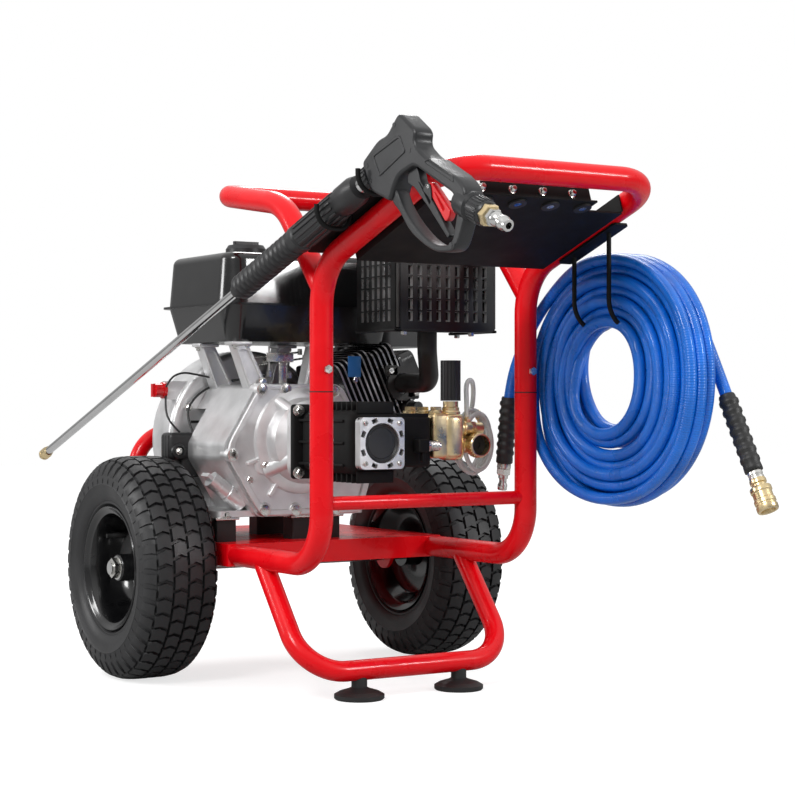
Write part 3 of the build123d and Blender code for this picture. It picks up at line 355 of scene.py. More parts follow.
# -------- camera, floor and light
CAMERA_AT = mm(-1443.8, -2384.5, 411)
CAMERA_TURN = radians(-32.45)
camera = bpy.data.objects.new("camera", bpy.data.cameras.new("camera"))
bpy.context.scene.collection.objects.link(camera)
camera.location = CAMERA_AT
camera.rotation_euler = (radians(90), 0, CAMERA_TURN)
camera.data.lens = 85
camera.data.sensor_width = 36
bpy.context.scene.camera = camera


WHITE = (1, 1, 1, 1)
FLOOR_HALF = 9.0
FLOOR_GREY = 0.42         # what the object sees of the floor
FLOOR_GLOW = 0.72         # what only the camera sees on top of that
SKY_HORIZON, SKY_TOP = 0.16, 1.0
# (place, aim, watts, side of the square lamp) in metres
LAMPS = [((-2.4, -1.5, 2.3), (0, 0, 0.4), 52, 0.9), ((1.6, -2.6, 1.5), (0, -0.1, 0.4), 30, 0.5),
         ((-2.6, 1.4, 1.3), (-0.1, 0.2, 0.4), 26, 0.8), ((1.2, 2.0, 2.6), (0, 0, 0.3), 36, 1.0)]


def make_floor():
    """White to the camera and mid-grey to the object, so that dark parts stay dark."""
    h = FLOOR_HALF
    mesh = bpy.data.meshes.new("floor")
    mesh.from_pydata([(-h, -h, 0), (h, -h, 0), (h, h, 0), (-h, h, 0)], [], [(0, 1, 2, 3)])
    floor = bpy.data.objects.new("floor", mesh)
    bpy.context.scene.collection.objects.link(floor)
    pale = bpy.data.materials.new("floor")
    pale.use_nodes = True
    nodes = pale.node_tree.nodes
    seen = added(nodes, "LightPath")
    shader = set_inputs(nodes["Principled BSDF"], Base_Color=(FLOOR_GREY, FLOOR_GREY, FLOOR_GREY, 1),
                        Roughness=0.9, Specular_IOR_Level=0.1, Emission_Color=WHITE)
    scale = added(nodes, "Math")
    scale.operation = "MULTIPLY"
    scale.inputs[1].default_value = FLOOR_GLOW
    link(seen, "Is Camera Ray", scale, 0)
    link(scale, 0, shader, "Emission Strength")
    mesh.materials.append(pale)


def make_world():
    """White behind the object; the light that falls on it grows from the horizon up."""
    world = bpy.data.worlds.new("studio")
    bpy.context.scene.world = world
    world.use_nodes = True
    nodes = world.node_tree.nodes
    soft = nodes["Background"]
    place = added(nodes, "TexCoord")
    split = added(nodes, "SeparateXYZ")
    link(place, "Generated", split, "Vector")
    ramp = added(nodes, "MapRange", From_Min=-0.15, From_Max=0.85, To_Min=SKY_HORIZON, To_Max=SKY_TOP)
    link(split, "Z", ramp, "Value")
    link(ramp, "Result", soft, "Strength")
    white = added(nodes, "Background", Strength=1.0, Color=WHITE)
    set_inputs(soft, Color=WHITE)
    seen = added(nodes, "LightPath")
    mix = added(nodes, "MixShader")
    link(seen, "Is Camera Ray", mix, "Fac")
    link(soft, "Background", mix, 1)
    link(white, "Background", mix, 2)
    link(mix, "Shader", nodes["World Output"], "Surface")


def make_lamps():
    """Four soft area lamps."""
    for number, (at, to, power, size) in enumerate(LAMPS):
        light = bpy.data.lights.new(f"lamp_{number}", "AREA")
        light.energy = power
        light.size = size
        lamp = bpy.data.objects.new(f"lamp_{number}", light)
        lamp.location = at
        lamp.rotation_euler = (Vector(to) - Vector(at)).to_track_quat("-Z", "Y").to_euler()
        bpy.context.scene.collection.objects.link(lamp)


make_floor()
make_world()
make_lamps()
bpy.context.scene.view_settings.view_transform = "Standard"

# -------- high-pressure hose
HOSE_D = 16.5
COIL_Y = -339.0
HOLE_TOP = 522.0          # height of the innermost turns' centreline over the hooks
HOLE_LOW = 369.0
ROW_UP = 14.4
ROW_DOWN = 15.4
ROW_SIDE = 16.6
HOLE_SIDE = 75.0
POINTS_PER_TURN = 20
# (x of the turn, its row counted out from the hole), in the order in which the hose is wound
TURNS = ([(197 if row % 2 == 0 else 205.5, row) for row in range(6, -1, -1)]
         + [(214 if row % 2 == 0 else 222.5, row) for row in range(7)]
         + [(239.5, 5), (239.5, 3), (231, 4), (231, 6)])
FRONT_ROUTE = [(259.5, -452, 528), (262, -480, 474), (264, -507, 419)]
REAR_ROUTE = [(204, -166, 532), (196, -128, 465), (191, -120, 418)]


def coil_points(turns, place, start, stop):
    """Points of a coil: turn k follows turns[k] and slides over to the next one in its last quarter."""
    points = []
    step = 2 * pi / POINTS_PER_TURN
    angle = start
    while angle < stop:
        number = (angle - start) / (2 * pi)
        k = min(int(number), len(turns) - 1)
        after = min(k + 1, len(turns) - 1)
        t = min(1.0, max(0.0, (number - k - 0.72) / 0.28))
        t = t * t * (3 - 2 * t)
        points.append(place(angle, [a * (1 - t) + b * t for a, b in zip(turns[k], turns[after])]))
        angle += step
    return points


def hose_place(angle, turn):
    """Where a hose turn's centreline is: angle 0 is the rear side and 90 degrees the top."""
    x, row, drop, lean, shift = turn
    top = HOLE_TOP + ROW_UP * row
    low = HOLE_LOW - ROW_DOWN * row - drop
    side = HOLE_SIDE + ROW_SIDE * row
    c, s = cos(angle), sin(angle)
    power = 0.93
    y = COIL_Y + shift * (1 - s) / 2 + side * (abs(c) ** power) * (1 if c > 0 else -1)
    z = (top + low) / 2 + (top - low) / 2 * (abs(s) ** power) * (1 if s > 0 else -1)
    return (x + lean * (1 - s) / 2 * cos(angle + row), y, z)


def make_hose():
    """The hose on its hooks, from the rear end through the coil to the front end."""
    loose = [(x, row, RANDOM.uniform(-2, 9), RANDOM.uniform(-6, 6), RANDOM.uniform(-7, 7)) for x, row in TURNS]
    turns = coil_points(loose, hose_place, radians(62), radians(62) + 2 * pi * len(loose) + radians(38))
    points = [(191, -120, 414), *reversed(REAR_ROUTE), *turns, (247, -420, 572), *FRONT_ROUTE, (264.2, -509, 415)]
    hose = wire("high_pressure_hose", points, HOSE_D / 2, M["blue_hose"], "frame")
    hose.data.bevel_resolution = 5
    hose.data.resolution_u = 5
    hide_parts("hose_coil", "hose_leads")
    return hose


def sleeve(name, start, end):
    """A ribbed rubber bend guard between two points."""
    bm = bmesh.new()
    way = Vector(end) - Vector(start)
    long = way.length
    profile = [(8.4, 1), (10.6, 0.5), (11.4, 3)]
    ribs = 7
    pitch = (long - 14) / ribs
    for k in range(ribs):
        h = 6 + pitch * k
        root = 11.2 + 0.1 * k
        profile += [(root, h), (13.3, h + 0.22 * pitch), (13.3, h + 0.5 * pitch), (root, h + 0.72 * pitch)]
    profile += [(12.4, long - 6), (12.4, long - 1), (11, long), (8.4, long)]
    lathe(bm, profile, start, way, 48)
    return from_bmesh(name, bm, M["black_rubber"], smooth=55)


def coupler(name, start, way):
    """Brass quick-connect socket on a crimped steel ferrule."""
    bm = bmesh.new()
    lathe(bm, [(8, 11), (10.5, 11), (11.2, 13), (11.2, 17), (9.6, 18.5), (9.6, 22), (13.6, 22.5), (14.5, 24),
               (14.5, 29), (13.2, 30.5), (13.2, 39), (14.5, 40.5), (14.5, 45), (13.4, 46), (13.4, 48), (14.5, 49),
               (14.5, 54.4), (13.6, 56), (10.4, 56), (10.0, 55.4), (10, 30), (8, 28)], start, way)
    brass = from_bmesh(name, bm, M["brass"])
    bm = bmesh.new()
    lathe(bm, [(7, 0), (9.6, 0.3), (10.2, 2), (10.2, 5), (9.2, 6), (9.2, 7), (10.2, 8), (10.2, 11), (7, 11)],
          start, way)
    steel = from_bmesh(name + "_ferrule", bm, ZINC)
    return brass, steel


def rear_fitting(name, start, way):
    """Steel ferrule, hexagon and quick-connect plug on the hose's rear end."""
    bm = bmesh.new()
    lathe(bm, [(5, 0), (10, 0.4), (10.4, 2), (10.4, 7), (8, 9), (5, 9)], start, way)
    at = Vector(start) + Vector(way).normalized() * 8
    hexagon(bm, at, way, 19, 9)
    lathe(bm, [(4, 16), (7.4, 16), (7.4, 22), (5.6, 24), (5.6, 29), (7.2, 32), (7.2, 38.6), (6.2, 40), (4, 40)],
          start, way)
    return from_bmesh(name, bm, ZINC)


hose = make_hose()
FRONT_SEAM, REAR_SEAM = Vector((264, -507, 419)), Vector((191, -120, 418))
FRONT_END, REAR_END = Vector((264, -560, 320)), Vector((191, -107, 320))
front_sleeve = sleeve("hose_sleeve_front", FRONT_SEAM, FRONT_END)
rear_sleeve = sleeve("hose_sleeve_rear", REAR_SEAM, REAR_END)
front_brass, front_steel = coupler("hose_coupler", FRONT_END, FRONT_END - FRONT_SEAM)
rear_steel = rear_fitting("hose_rear_plug", REAR_END, REAR_END - REAR_SEAM)
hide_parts("hose_ends")

# -------- clear detergent tube
CLEAR_D = 7.0
CLEAR_TURNS = [(-86, 0, -3), (-95, 0.9, 2), (-106, 0.2, 3), (-97, 1, -1), (-88, 0.4, 1)]


def clear_place(angle, turn):
    """Where a turn of the clear tube lies: angle 90 degrees is its top."""
    y, row, shift = turn
    half_wide, half_high = 23.5 + 6.0 * row, 40.5 + 6.0 * row
    return (142 + shift + half_wide * cos(angle), y, 352 + half_high * sin(angle))


def make_clear_tube():
    """From the pump's barb up, over and down into the hank."""
    turns = coil_points(CLEAR_TURNS, clear_place, radians(80), radians(80) + 2 * pi * len(CLEAR_TURNS) - radians(20))
    points = [(112, -124, 389), (112, -124, 412), (112, -122, 436), (126, -113, 444), (138, -104, 436),
              (142, -97, 408), *turns]
    clear = wire("detergent_tube", points, CLEAR_D / 2, M["clear_tube"], "frame")
    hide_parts("detergent_coil", "detergent_lead")
    return clear, Vector(points[-1]), Vector(points[-1]) - Vector(points[-2])


clear, clear_end, clear_way = make_clear_tube()
strainer_mesh = bmesh.new()
lathe(strainer_mesh, [(0, -2), (4.6, -2), (4.6, 4), (5.6, 5), (5.6, 12), (4.8, 13), (4.8, 17), (0, 18)], clear_end,
      clear_way, 32)
strainer = from_bmesh("detergent_strainer", strainer_mesh, M["brass"])

# -------- wheels
WHEEL_X = 251.5
AXLE = (205.0, 165.0)
TREAD = 5.0
CROWN = [(0, 165), (18, 165), (30, 164.4), (40, 162), (47, 158), (53, 151), (57, 141), (59.6, 130)]
BLOCKS_ROUND = 44


def crown_radius(out):
    """Radius of the tyre's tread at a distance from its middle plane."""
    out = abs(out)
    for (a, ra), (b, rb) in zip(CROWN, CROWN[1:]):
        if out <= b:
            return ra + (rb - ra) * (out - a) / (b - a)
    return CROWN[-1][1]


def tread_block(bm, side, outline, turn, height):
    """One raised block; outline is (distance across, distance round) points, both rows running the same way."""
    def at(across, round_by, lift):
        radius = crown_radius(across) - TREAD + lift
        angle = turn + round_by / 165
        return (side * WHEEL_X + across, AXLE[0] + radius * cos(angle), AXLE[1] + radius * sin(angle))

    count = len(outline)
    middle = (sum(a for a, _ in outline) / count, sum(b for _, b in outline) / count)
    foot = [bm.verts.new(at(a, b, -1)) for a, b in outline]
    top = [bm.verts.new(at(middle[0] + (a - middle[0]) * 0.93, middle[1] + (b - middle[1]) * 0.9, height))
           for a, b in outline]
    half = count // 2
    for i in range(count):
        j = (i + 1) % count
        bm.faces.new([foot[i], foot[j], top[j], top[i]])
    for i in range(half - 1):
        bm.faces.new([top[i], top[i + 1], top[count - 2 - i], top[count - 1 - i]])


def make_tyre(side, name):
    """Turf tyre: turned carcass with sidewall rings, and staggered chevron blocks."""
    bm = bmesh.new()
    outer = [(82, 41), (88, 42.5), (93, 46), (96, 50.5), (99, 50), (101, 52.5), (112, 56.5), (122, 58.6),
             (124, 59.8), (126, 58.8), (134, 58.2)]
    outer += [(crown_radius(w) - TREAD, w) for w in (55, 51, 46, 40, 30, 18, 6)]
    inner = [(82, -36), (110, -49), (150, -30), (150, 30), (110, 49), (82, 36)]
    outline = outer + [(r, -w) for r, w in reversed(outer)] + inner
    lathe(bm, outline, (side * WHEEL_X, *AXLE), RIGHT, 132)
    pitch = 2 * pi * 165 / BLOCKS_ROUND
    for k in range(BLOCKS_ROUND):
        for row, across in enumerate((-34.5, -11.5, 11.5, 34.5)):
            turn = 2 * pi * (k + 0.5 * (row % 2)) / BLOCKS_ROUND
            half_w, half_r, point = 10.2, pitch / 2 - 1.9, 4.2
            front = [(across - half_w, -half_r), (across, -half_r - point), (across + half_w, -half_r)]
            back = [(across + half_w, half_r), (across, half_r - point), (across - half_w, half_r)]
            tread_block(bm, side, front + back, turn, TREAD)
        for edge in (-1, 1):
            turn = 2 * pi * (k + 0.25) / BLOCKS_ROUND
            near, far = edge * 46.5, edge * 57.5
            outline = [(near, -pitch / 2 + 3), ((near + far) / 2, -pitch / 2 + 2.5), (far, -pitch / 2 + 3.5),
                       (far, pitch / 2 - 5.5), ((near + far) / 2, pitch / 2 - 5), (near, pitch / 2 - 3)]
            tread_block(bm, side, outline, turn, TREAD - 0.8)
            ticks = [(edge * 58.4, -1.2), (edge * 59.4, -1.2), (edge * 59.4, 1.2), (edge * 58.4, 1.2)]
            tread_block(bm, side, ticks, turn + pi / BLOCKS_ROUND, 4)
    tyre = from_bmesh(f"treaded_{name}", bm, M["tyre"], f"{name[5:]}_wheel", 35)
    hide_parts(name)


def make_rim(side, name):
    """Pressed steel rim: rolled lip, deep dish and hub, with a bearing and a valve."""
    bm = bmesh.new()
    out = (side, 0, 0)
    centre = (side * WHEEL_X, *AXLE)
    face = [(10, 36.5), (19, 36.5), (20, 35), (20, 6), (24, 2), (34, 0), (44, -3), (52, -9), (60, -12), (66, -8),
            (71, 4), (76, 26), (79, 38), (84, 43.5), (89, 45), (91, 47), (92.2, 49.5), (91, 51), (88.5, 50),
            (86, 46.6), (81, 45)]
    inner = [(79, 40), (74, 18), (74, -18), (79, -40), (84, -45), (91, -48), (91, -50), (83, -46.6), (76, -41),
             (70, -20), (60, -14), (34, -8), (20, -12), (20, -43), (10, -43)]
    lathe(bm, face + inner, centre, out, 96)
    rim = from_bmesh(f"pressed_{name}", bm, M["black_paint"], f"{name[4:]}_wheel", 50)
    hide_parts(name)
    bm = bmesh.new()
    lathe(bm, [(9.8, 36.6), (17.5, 36.6), (17.5, 38), (15.5, 38.4), (15.5, 37.4), (12.5, 37.4), (12.5, 38.8),
               (9.8, 38.8)], centre, out, 48)
    from_bmesh(f"{name}_bearing", bm, M["machined_steel"], f"{name[4:]}_wheel")
    bm = bmesh.new()
    valve_at = (side * (WHEEL_X + 24), AXLE[0] + 50, AXLE[1] + 44)
    lathe(bm, [(0, -22), (4.2, -22), (4.2, -4), (3.2, -2), (3.2, 8), (0, 8)], valve_at, out, 20)
    from_bmesh(f"{name}_valve", bm, M["black_rubber"], f"{name[4:]}_wheel")


for wheel_side, wheel_name in ((-1, "left"), (1, "right")):
    make_tyre(wheel_side, f"tyre_{wheel_name}")
    make_rim(wheel_side, f"rim_{wheel_name}")

# -------- muffler guard
GUARD_LOW, GUARD_HIGH = (14.0, -92.0, 512.0), (186.0, 22.0, 640.0)


def slotted_wall(bm, edges, wide, high, columns, rows, slot, place, margin=(9, 11)):
    """Adds a thin wall in the (u, v) plane of place with a grid of upright slots, and to edges their inner rims."""
    pitch_u, pitch_v = (wide - 2 * margin[0]) / columns, (high - 2 * margin[1]) / rows
    us, vs = [0], [0]
    for c in range(columns):
        middle = margin[0] + pitch_u * (c + 0.5)
        us += [middle - slot[0] / 2, middle + slot[0] / 2]
    for r in range(rows):
        middle = margin[1] + pitch_v * (r + 0.5)
        vs += [middle - slot[1] / 2, middle + slot[1] / 2]
    us, vs = us + [wide], vs + [high]
    for depth in (0, 1.4):
        grid = [[bm.verts.new(place @ Vector((u, v, depth))) for v in vs] for u in us]
        for i in range(len(us) - 1):
            for j in range(len(vs) - 1):
                if not (i % 2 == 1 and j % 2 == 1):
                    bm.faces.new([grid[i][j], grid[i + 1][j], grid[i + 1][j + 1], grid[i][j + 1]])
    rims = bmesh.new()
    for i in range(1, len(us) - 1, 2):
        for j in range(1, len(vs) - 1, 2):
            corners = [(us[i], vs[j]), (us[i + 1], vs[j]), (us[i + 1], vs[j + 1]), (us[i], vs[j + 1])]
            mid_u, mid_v = (us[i] + us[i + 1]) / 2, (vs[j] + vs[j + 1]) / 2
            near = [rims.verts.new(place @ Vector((u, v, 1.4))) for u, v in corners]
            far = [rims.verts.new(place @ Vector((u * 0.82 + 0.18 * mid_u, v * 0.9 + 0.1 * mid_v, -4)))
                   for u, v in corners]
            for k in range(4):
                rims.faces.new([near[k], near[(k + 1) % 4], far[(k + 1) % 4], far[k]])
    join(edges, rims)


def wall_place(origin, u_axis, v_axis):
    """Matrix from (u, v, outward depth) to the row frame, in millimetres."""
    u, v = Vector(u_axis), Vector(v_axis)
    w = u.cross(v)
    return Matrix(((u.x, v.x, w.x, origin[0]), (u.y, v.y, w.y, origin[1]), (u.z, v.z, w.z, origin[2]), (0, 0, 0, 1)))


def make_guard():
    """Heat guard: slotted front and sides, a lid and bolts."""
    (x0, y0, z0), (x1, y1, z1) = GUARD_LOW, GUARD_HIGH
    bm, edges = bmesh.new(), bmesh.new()
    high = z1 - z0 - 6
    slotted_wall(bm, edges, x1 - x0 - 8, high, 9, 6, (7.5, 14.5), wall_place((x0 + 4, y0, z0 + 3), RIGHT, UP))
    slotted_wall(bm, edges, y1 - y0 - 8, high, 6, 6, (6.5, 14.5), wall_place((x0, y1 - 4, z0 + 3), FRONT, UP))
    slotted_wall(bm, edges, y1 - y0 - 8, high, 6, 6, (6.5, 14.5), wall_place((x1, y0 + 4, z0 + 3), (0, 1, 0), UP))
    for z in (z0, z1 - 4):
        block(bm, (x0 - 1.5, y0 - 1.5, z), (x1 + 1.5, y0 + 8, z + 4), 1.4)
        for x in (x0 - 1.5, x1 - 8):
            block(bm, (x, y0 - 1.5, z), (x + 9.5, y1, z + 4), 1.4)
    block(bm, (x0, y0, z1 - 2), (x1, y1, z1), 0.8)
    block(bm, (x0 + 2, y1 - 5, z0 + 4), (x1 - 2, y1 - 3.5, z1 - 3), 0.5)
    guard = from_bmesh("slotted_guard", bm, M["heat_black"], smooth=30)
    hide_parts("muffler_guard")
    # The slot rims take the painted highlight.
    from_bmesh("guard_slot_rims_painted_highlight", edges, SLOT_EDGE_HIGHLIGHT, smooth=30)
    bm = bmesh.new()
    for x in (x0, x1):
        disc(bm, 2.6, 0, z1 - z0 - 12, (x + (2 if x == x0 else -2), y0 + 2, z0 + 6), UP, 20)
    from_bmesh("guard_corner_beads", bm, M["exhaust_steel"])
    bm = bmesh.new()
    for x, y in ((x0 + 14, y0 + 6), (x1 - 40, y0 + 6), (x1 - 12, y1 - 30)):
        hexagon(bm, (x, y, z0 - 0.2), (0, 0, -1), 8, 5)
    for z in (z0 + 26, z0 + 64, z0 + 100):
        hexagon(bm, (x1 + 0.5, y0 + 20, z), RIGHT, 7, 4)
    from_bmesh("guard_bolts", bm, ZINC)


make_guard()

# -------- gun and lance
GUN_X = -215.0
LANCE_END = Vector((GUN_X, 652.0, 327.6))
LANCE_WAY = Vector((0, -cos(radians(19)), sin(radians(19))))
INLET_AT = Vector((GUN_X, -612, 633))
INLET_WAY = Vector((0, -80, -32)).normalized()
TRIGGER_PIN, LATCH_PIN = (-492, 692), (-528, 663)
GUN_SHELL = [(-475, 757), (-513, 731), (-509, 715), (-530, 699), (-600, 666), (-617, 650), (-612, 628), (-600, 618),
             (-592, 648), (-508, 690), (-475, 681), (-463, 668), (-456, 651), (-412, 668), (-390, 705), (-428, 729),
             (-448, 732)]
GUARD_RING = [(-596, 640), (-612, 634), (-606, 612), (-590, 583), (-549, 584), (-519, 597), (-491, 614), (-469, 640),
              (-452, 652), (-460, 672), (-475, 646), (-497, 624), (-523, 605), (-549, 592), (-583, 591)]


def on_lance(y):
    """Point of the lance's axis at a given Y."""
    return LANCE_END + LANCE_WAY * ((LANCE_END.y - y) / cos(radians(19)))


def make_gun():
    """Moulded gun: shell with a blank raised panel, thin guard, grip rim, ribbed caps and the inlet's nut, hexagon
    and quick plug.
    """
    plastic, middle = M["gloss_black_plastic"], upright_plane(GUN_X)
    shell = plate("gun_shell", [rounded(GUN_SHELL, 9)], 28, 4, middle, plastic, "spray_gun")
    plate("gun_guard", [rounded(GUARD_RING, 14)], 19, 2.5, middle, plastic, "spray_gun")
    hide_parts("gun_body")
    panel = rounded([(-417, 711), (-479, 729), (-492, 707), (-433, 683)], 4)
    frame_in = rounded([(-421, 709), (-477, 725.5), (-488, 708), (-434.5, 686.6)], 3)
    plate("gun_panel", [panel, frame_in], 30.4, 1, middle, plastic, "spray_gun")
    grip = rounded([(-530, 691), (-540, 695), (-592, 669), (-594, 660)], 4)
    grip_in = rounded([(-533, 690.4), (-541, 692.6), (-589, 668), (-590.6, 662.6)], 3)
    plate("gun_grip_rim", [grip, grip_in], 29.4, 0.6, middle, plastic, "spray_gun")
    bm = bmesh.new()
    start = on_lance(-385) - LANCE_WAY * 4
    lathe(bm, [(7, 0), (13.5, 0), (15.5, 2), (15.5, 20), (7, 20)], start, LANCE_WAY, 48)
    for k in range(16):
        block(bm, (14.0, -1.5, 2), (16.9, 1.5, 19), 0.6, spoke(start, LANCE_WAY, k, 16))
    lathe(bm, [(9, -24), (16, -22), (17.6, -18), (17.6, 2), (15, 5), (9, 5)], INLET_AT, INLET_WAY, 48)
    for y, z in ((-404, 700), (-412, 680), (-500, 708), (-587, 590), (-466, 742)):
        disc(bm, 3.2, -1, 0.4, (GUN_X - 14, y, z), (-1, 0, 0), 20)
    from_bmesh("gun_caps", bm, plastic, "spray_gun")
    bm = bmesh.new()
    lathe(bm, [(8, 5.5), (15, 5.5), (15, 8), (15, 28), (13, 31), (8, 31)], INLET_AT, INLET_WAY, 48)
    for k in range(22):
        block(bm, (14, -1.1, 8), (16.2, 1.1, 27), 0.6, spoke(INLET_AT, INLET_WAY, k, 22))
    inlet = from_bmesh("gun_inlet_nut", bm, plastic, "spray_gun")
    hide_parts("gun_inlet")
    bm = bmesh.new()
    hexagon(bm, INLET_AT + INLET_WAY * 31, INLET_WAY, 24, 8)
    from_bmesh("gun_inlet_hexagon", bm, M["brass"], "spray_gun")
    bm = bmesh.new()
    hexagon(bm, INLET_AT + INLET_WAY * 39, INLET_WAY, 19, 8)
    lathe(bm, [(4, 46), (8.6, 46), (8.6, 52), (7, 54.5), (6.3, 55.5), (6.3, 58.5), (8.4, 60.5), (8.6, 62),
               (8.6, 66), (7.2, 68.5), (7.2, 73.8), (6.4, 74.6), (4, 74.6)], INLET_AT, INLET_WAY, 48)
    from_bmesh("gun_inlet_quick_plug", bm, M["machined_steel"], "spray_gun")


def make_trigger():
    """Open-framed trigger on its pin, with a red latch between the cheeks of its fork."""
    plastic, middle = M["gloss_black_plastic"], upright_plane(GUN_X)
    lever = rounded([(-484, 697), (-492, 699.5), (-500, 697), (-508, 679), (-510, 672), (-538, 644), (-573, 603),
                     (-569, 599), (-530, 637), (-498, 665), (-484, 671)], 3)
    hole = rounded([(-507, 671), (-510, 668.5), (-533, 645), (-530, 642)], 1)
    trigger = plate("trigger_lever", [lever, hole], 12, 1.2, middle, plastic, "gun_trigger")
    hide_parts("gun_trigger")
    bm = bmesh.new()
    for y, z in (TRIGGER_PIN, LATCH_PIN):
        disc(bm, 2.6, -6.6, 6.6, (GUN_X, y, z), RIGHT, 24)
    from_bmesh("trigger_pins", bm, M["machined_steel"], "gun_trigger")
    cheek = rounded([(-517, 660), (-524, 667), (-531, 666.5), (-534, 661), (-536, 646)], 2)
    for side, off in (("left", -5.6), ("right", 5.6)):
        plate(f"trigger_fork_{side}", [cheek], 2, 0.5, upright_plane(GUN_X + off), plastic, "gun_trigger")
    latch = rounded([(-520, 665.5), (-532, 668.3), (-551, 651), (-572, 631), (-569, 623), (-562, 619),
                     (-527, 658)], 3)
    slot = rounded([(-538, 657), (-546, 650), (-561, 634), (-557, 631)], 2)
    red = plate("red_latch", [latch, slot], 9.2, 1, middle, M["red_plastic"], "safety_latch")
    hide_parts("safety_latch")


def make_lance():
    """Ribbed two-part grip and the brass nozzle."""
    start = on_lance(-35)
    long = 333 / cos(radians(19))
    profile = [(7.5, 0), (10, 0), (11, 2), (11, 9), (13, 11), (15.5, 13)]
    for k in range(13):
        h = 16 + 12.4 * k
        profile += [(15.6, h), (17.9, h + 1.8), (18.2, h + 4.5), (17.9, h + 7.2), (15.6, h + 9)]
    profile += [(15.6, 180), (19.4, 184), (19.4, 196), (17.5, 198), (17.5, 306), (19.4, 309), (19.4, long - 14),
                (16, long - 2), (7.5, long)]
    bm = bmesh.new()
    lathe(bm, profile, start, LANCE_WAY, 56)
    for k in range(14):
        block(bm, (16.8, -1.6, 201), (19.3, 1.6, 300), 1.0, spoke(start, LANCE_WAY, k, 14))
    grip = from_bmesh("ribbed_grip", bm, M["black_plastic"], "spray_gun")
    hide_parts("lance_grip")
    bm = bmesh.new()
    way = -LANCE_WAY
    lathe(bm, [(2, 33), (3.6, 34), (5, 32), (5.4, 26), (7.4, 24), (9.4, 22.5), (9.4, 19.5), (8.4, 18.6),
               (8.4, 16.6), (9.4, 15.6), (9.4, 8.5), (8, 6.5), (8, 0.3), (5, 0.3), (2, 10)], LANCE_END, way, 40)
    nozzle = from_bmesh("turned_nozzle", bm, M["brass"], "lance_nozzle")
    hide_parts("lance_nozzle")


make_gun()
make_trigger()
make_lance()

# -------- pump
SHAFT_X, SHAFT_Z = -50, 353       # the shaft that engine and pump share
PORT_Y = -124
PUMP_INLET = (121, PORT_Y, 348)
BARB = (112, PORT_Y, 380)
STUD = (31, -140, 348)
CORNERS = ((-1, -1), (-1, 1), (1, -1), (1, 1))


def by_shaft(dx, y, dz):
    """Point at y that lies dx beside and dz above the shaft."""
    return SHAFT_X + dx, y, SHAFT_Z + dz


def flanged_bolt(bm, at, way, across=10.0, head=5.0):
    """Adds a hexagonal bolt head on a round flange."""
    lathe(bm, [(0, 0), (0.78 * across, 0), (0.78 * across, 1), (0.62 * across, 1.8), (0, 1.8)], at, way, 32)
    hexagon(bm, Vector(at) + Vector(way).normalized() * 1.6, way, across, head)


def threaded(radius, start, end, pitch):
    """Profile of a coarse thread between two heights."""
    profile, h = [(0, start), (radius - 0.9, start)], start + 0.5
    while h + pitch < end:
        profile += [(radius - 0.9, h), (radius, h + 0.35 * pitch), (radius - 0.9, h + 0.8 * pitch)]
        h += pitch
    return profile + [(radius - 0.9, end), (0, end)]


def make_pump_body():
    """Finned black crankcase and its end cap."""
    bm = bmesh.new()
    block(bm, (-92, -140, 309), (-8, 8, 399), 16)
    block(bm, (-104, 4, 299), (4, 13.8, 407), 4.5)
    block(bm, (-16, -134, 318), (44.8, -38, 390), 6)
    for step in range(9):
        y = -136 + 14 * step
        block(bm, (-80, y, 394), (-20, y + 4, 411), 1.3)
        block(bm, (-80, y, 297), (-20, y + 4, 314), 1.3)
        block(bm, (-9, y + 6, 386), (42, y + 9, 394), 1.0)
    for z in (322, 353, 384):
        block(bm, (-95, -120, z - 2), (-86, 6, z + 2), 1.2)
    block(bm, (13, -151, 339), (31, -132, 358), 2.5)
    block(bm, (20, -149, 326), (25, -140, 342), 1)
    body = from_bmesh("finned_pump_body", bm, MATT_BLACK, smooth=35)
    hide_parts("pump_crankcase")
    bm = bmesh.new()
    lathe(bm, [(0, 0), (27.7, 0), (27.7, 4.2), (25.6, 5), (23.8, 3.4), (22, 3.4), (21, 4.4), (0, 4.4)],
          by_shaft(0, -146.3, 0), FRONT)
    block(bm, (-85.6, -146.7, 317.4), (-14.4, -146.25, 388.6), 0)
    from_bmesh("pump_end_cap", bm, M["gloss_black_plastic"], smooth=30)


def make_pump_screws():
    """Socket screws of the end cap, bolts of the flange and a threaded stud."""
    bm = bmesh.new()
    for a, b in CORNERS:
        lathe(bm, [(1.7, 0.6), (1.7, 3), (2.9, 3), (3.6, 2.2), (3.6, 0), (0, 0), (0, 0.6)],
              by_shaft(28 * a, -154, 28 * b), FRONT, 24)
    for a, b in CORNERS:
        flanged_bolt(bm, by_shaft(45 * a, 4, 45 * b), FRONT, 11, 6)
    lathe(bm, threaded(7.8, 0, 22, 2.2), STUD, RIGHT, 40)
    hexagon(bm, STUD, RIGHT, 15, 5)
    from_bmesh("pump_screws", bm, ZINC)


def add_plugs(bm):
    """Adds bosses with hexagonal plugs on the head's top and side."""
    for y in (-122, -88, -54):
        lathe(bm, [(0, 0), (11, 0), (11, 6), (9.6, 7.4), (0, 7.4)], (60, y, 391), UP, 40)
        hexagon(bm, (60, y, 397.5), UP, 15.5, 6)
    for y in (-88, -54):
        disc(bm, 10.4, 0, 5, (95, y, 350), RIGHT, 40)
        hexagon(bm, (99.5, y, 350), RIGHT, 16, 6.5)


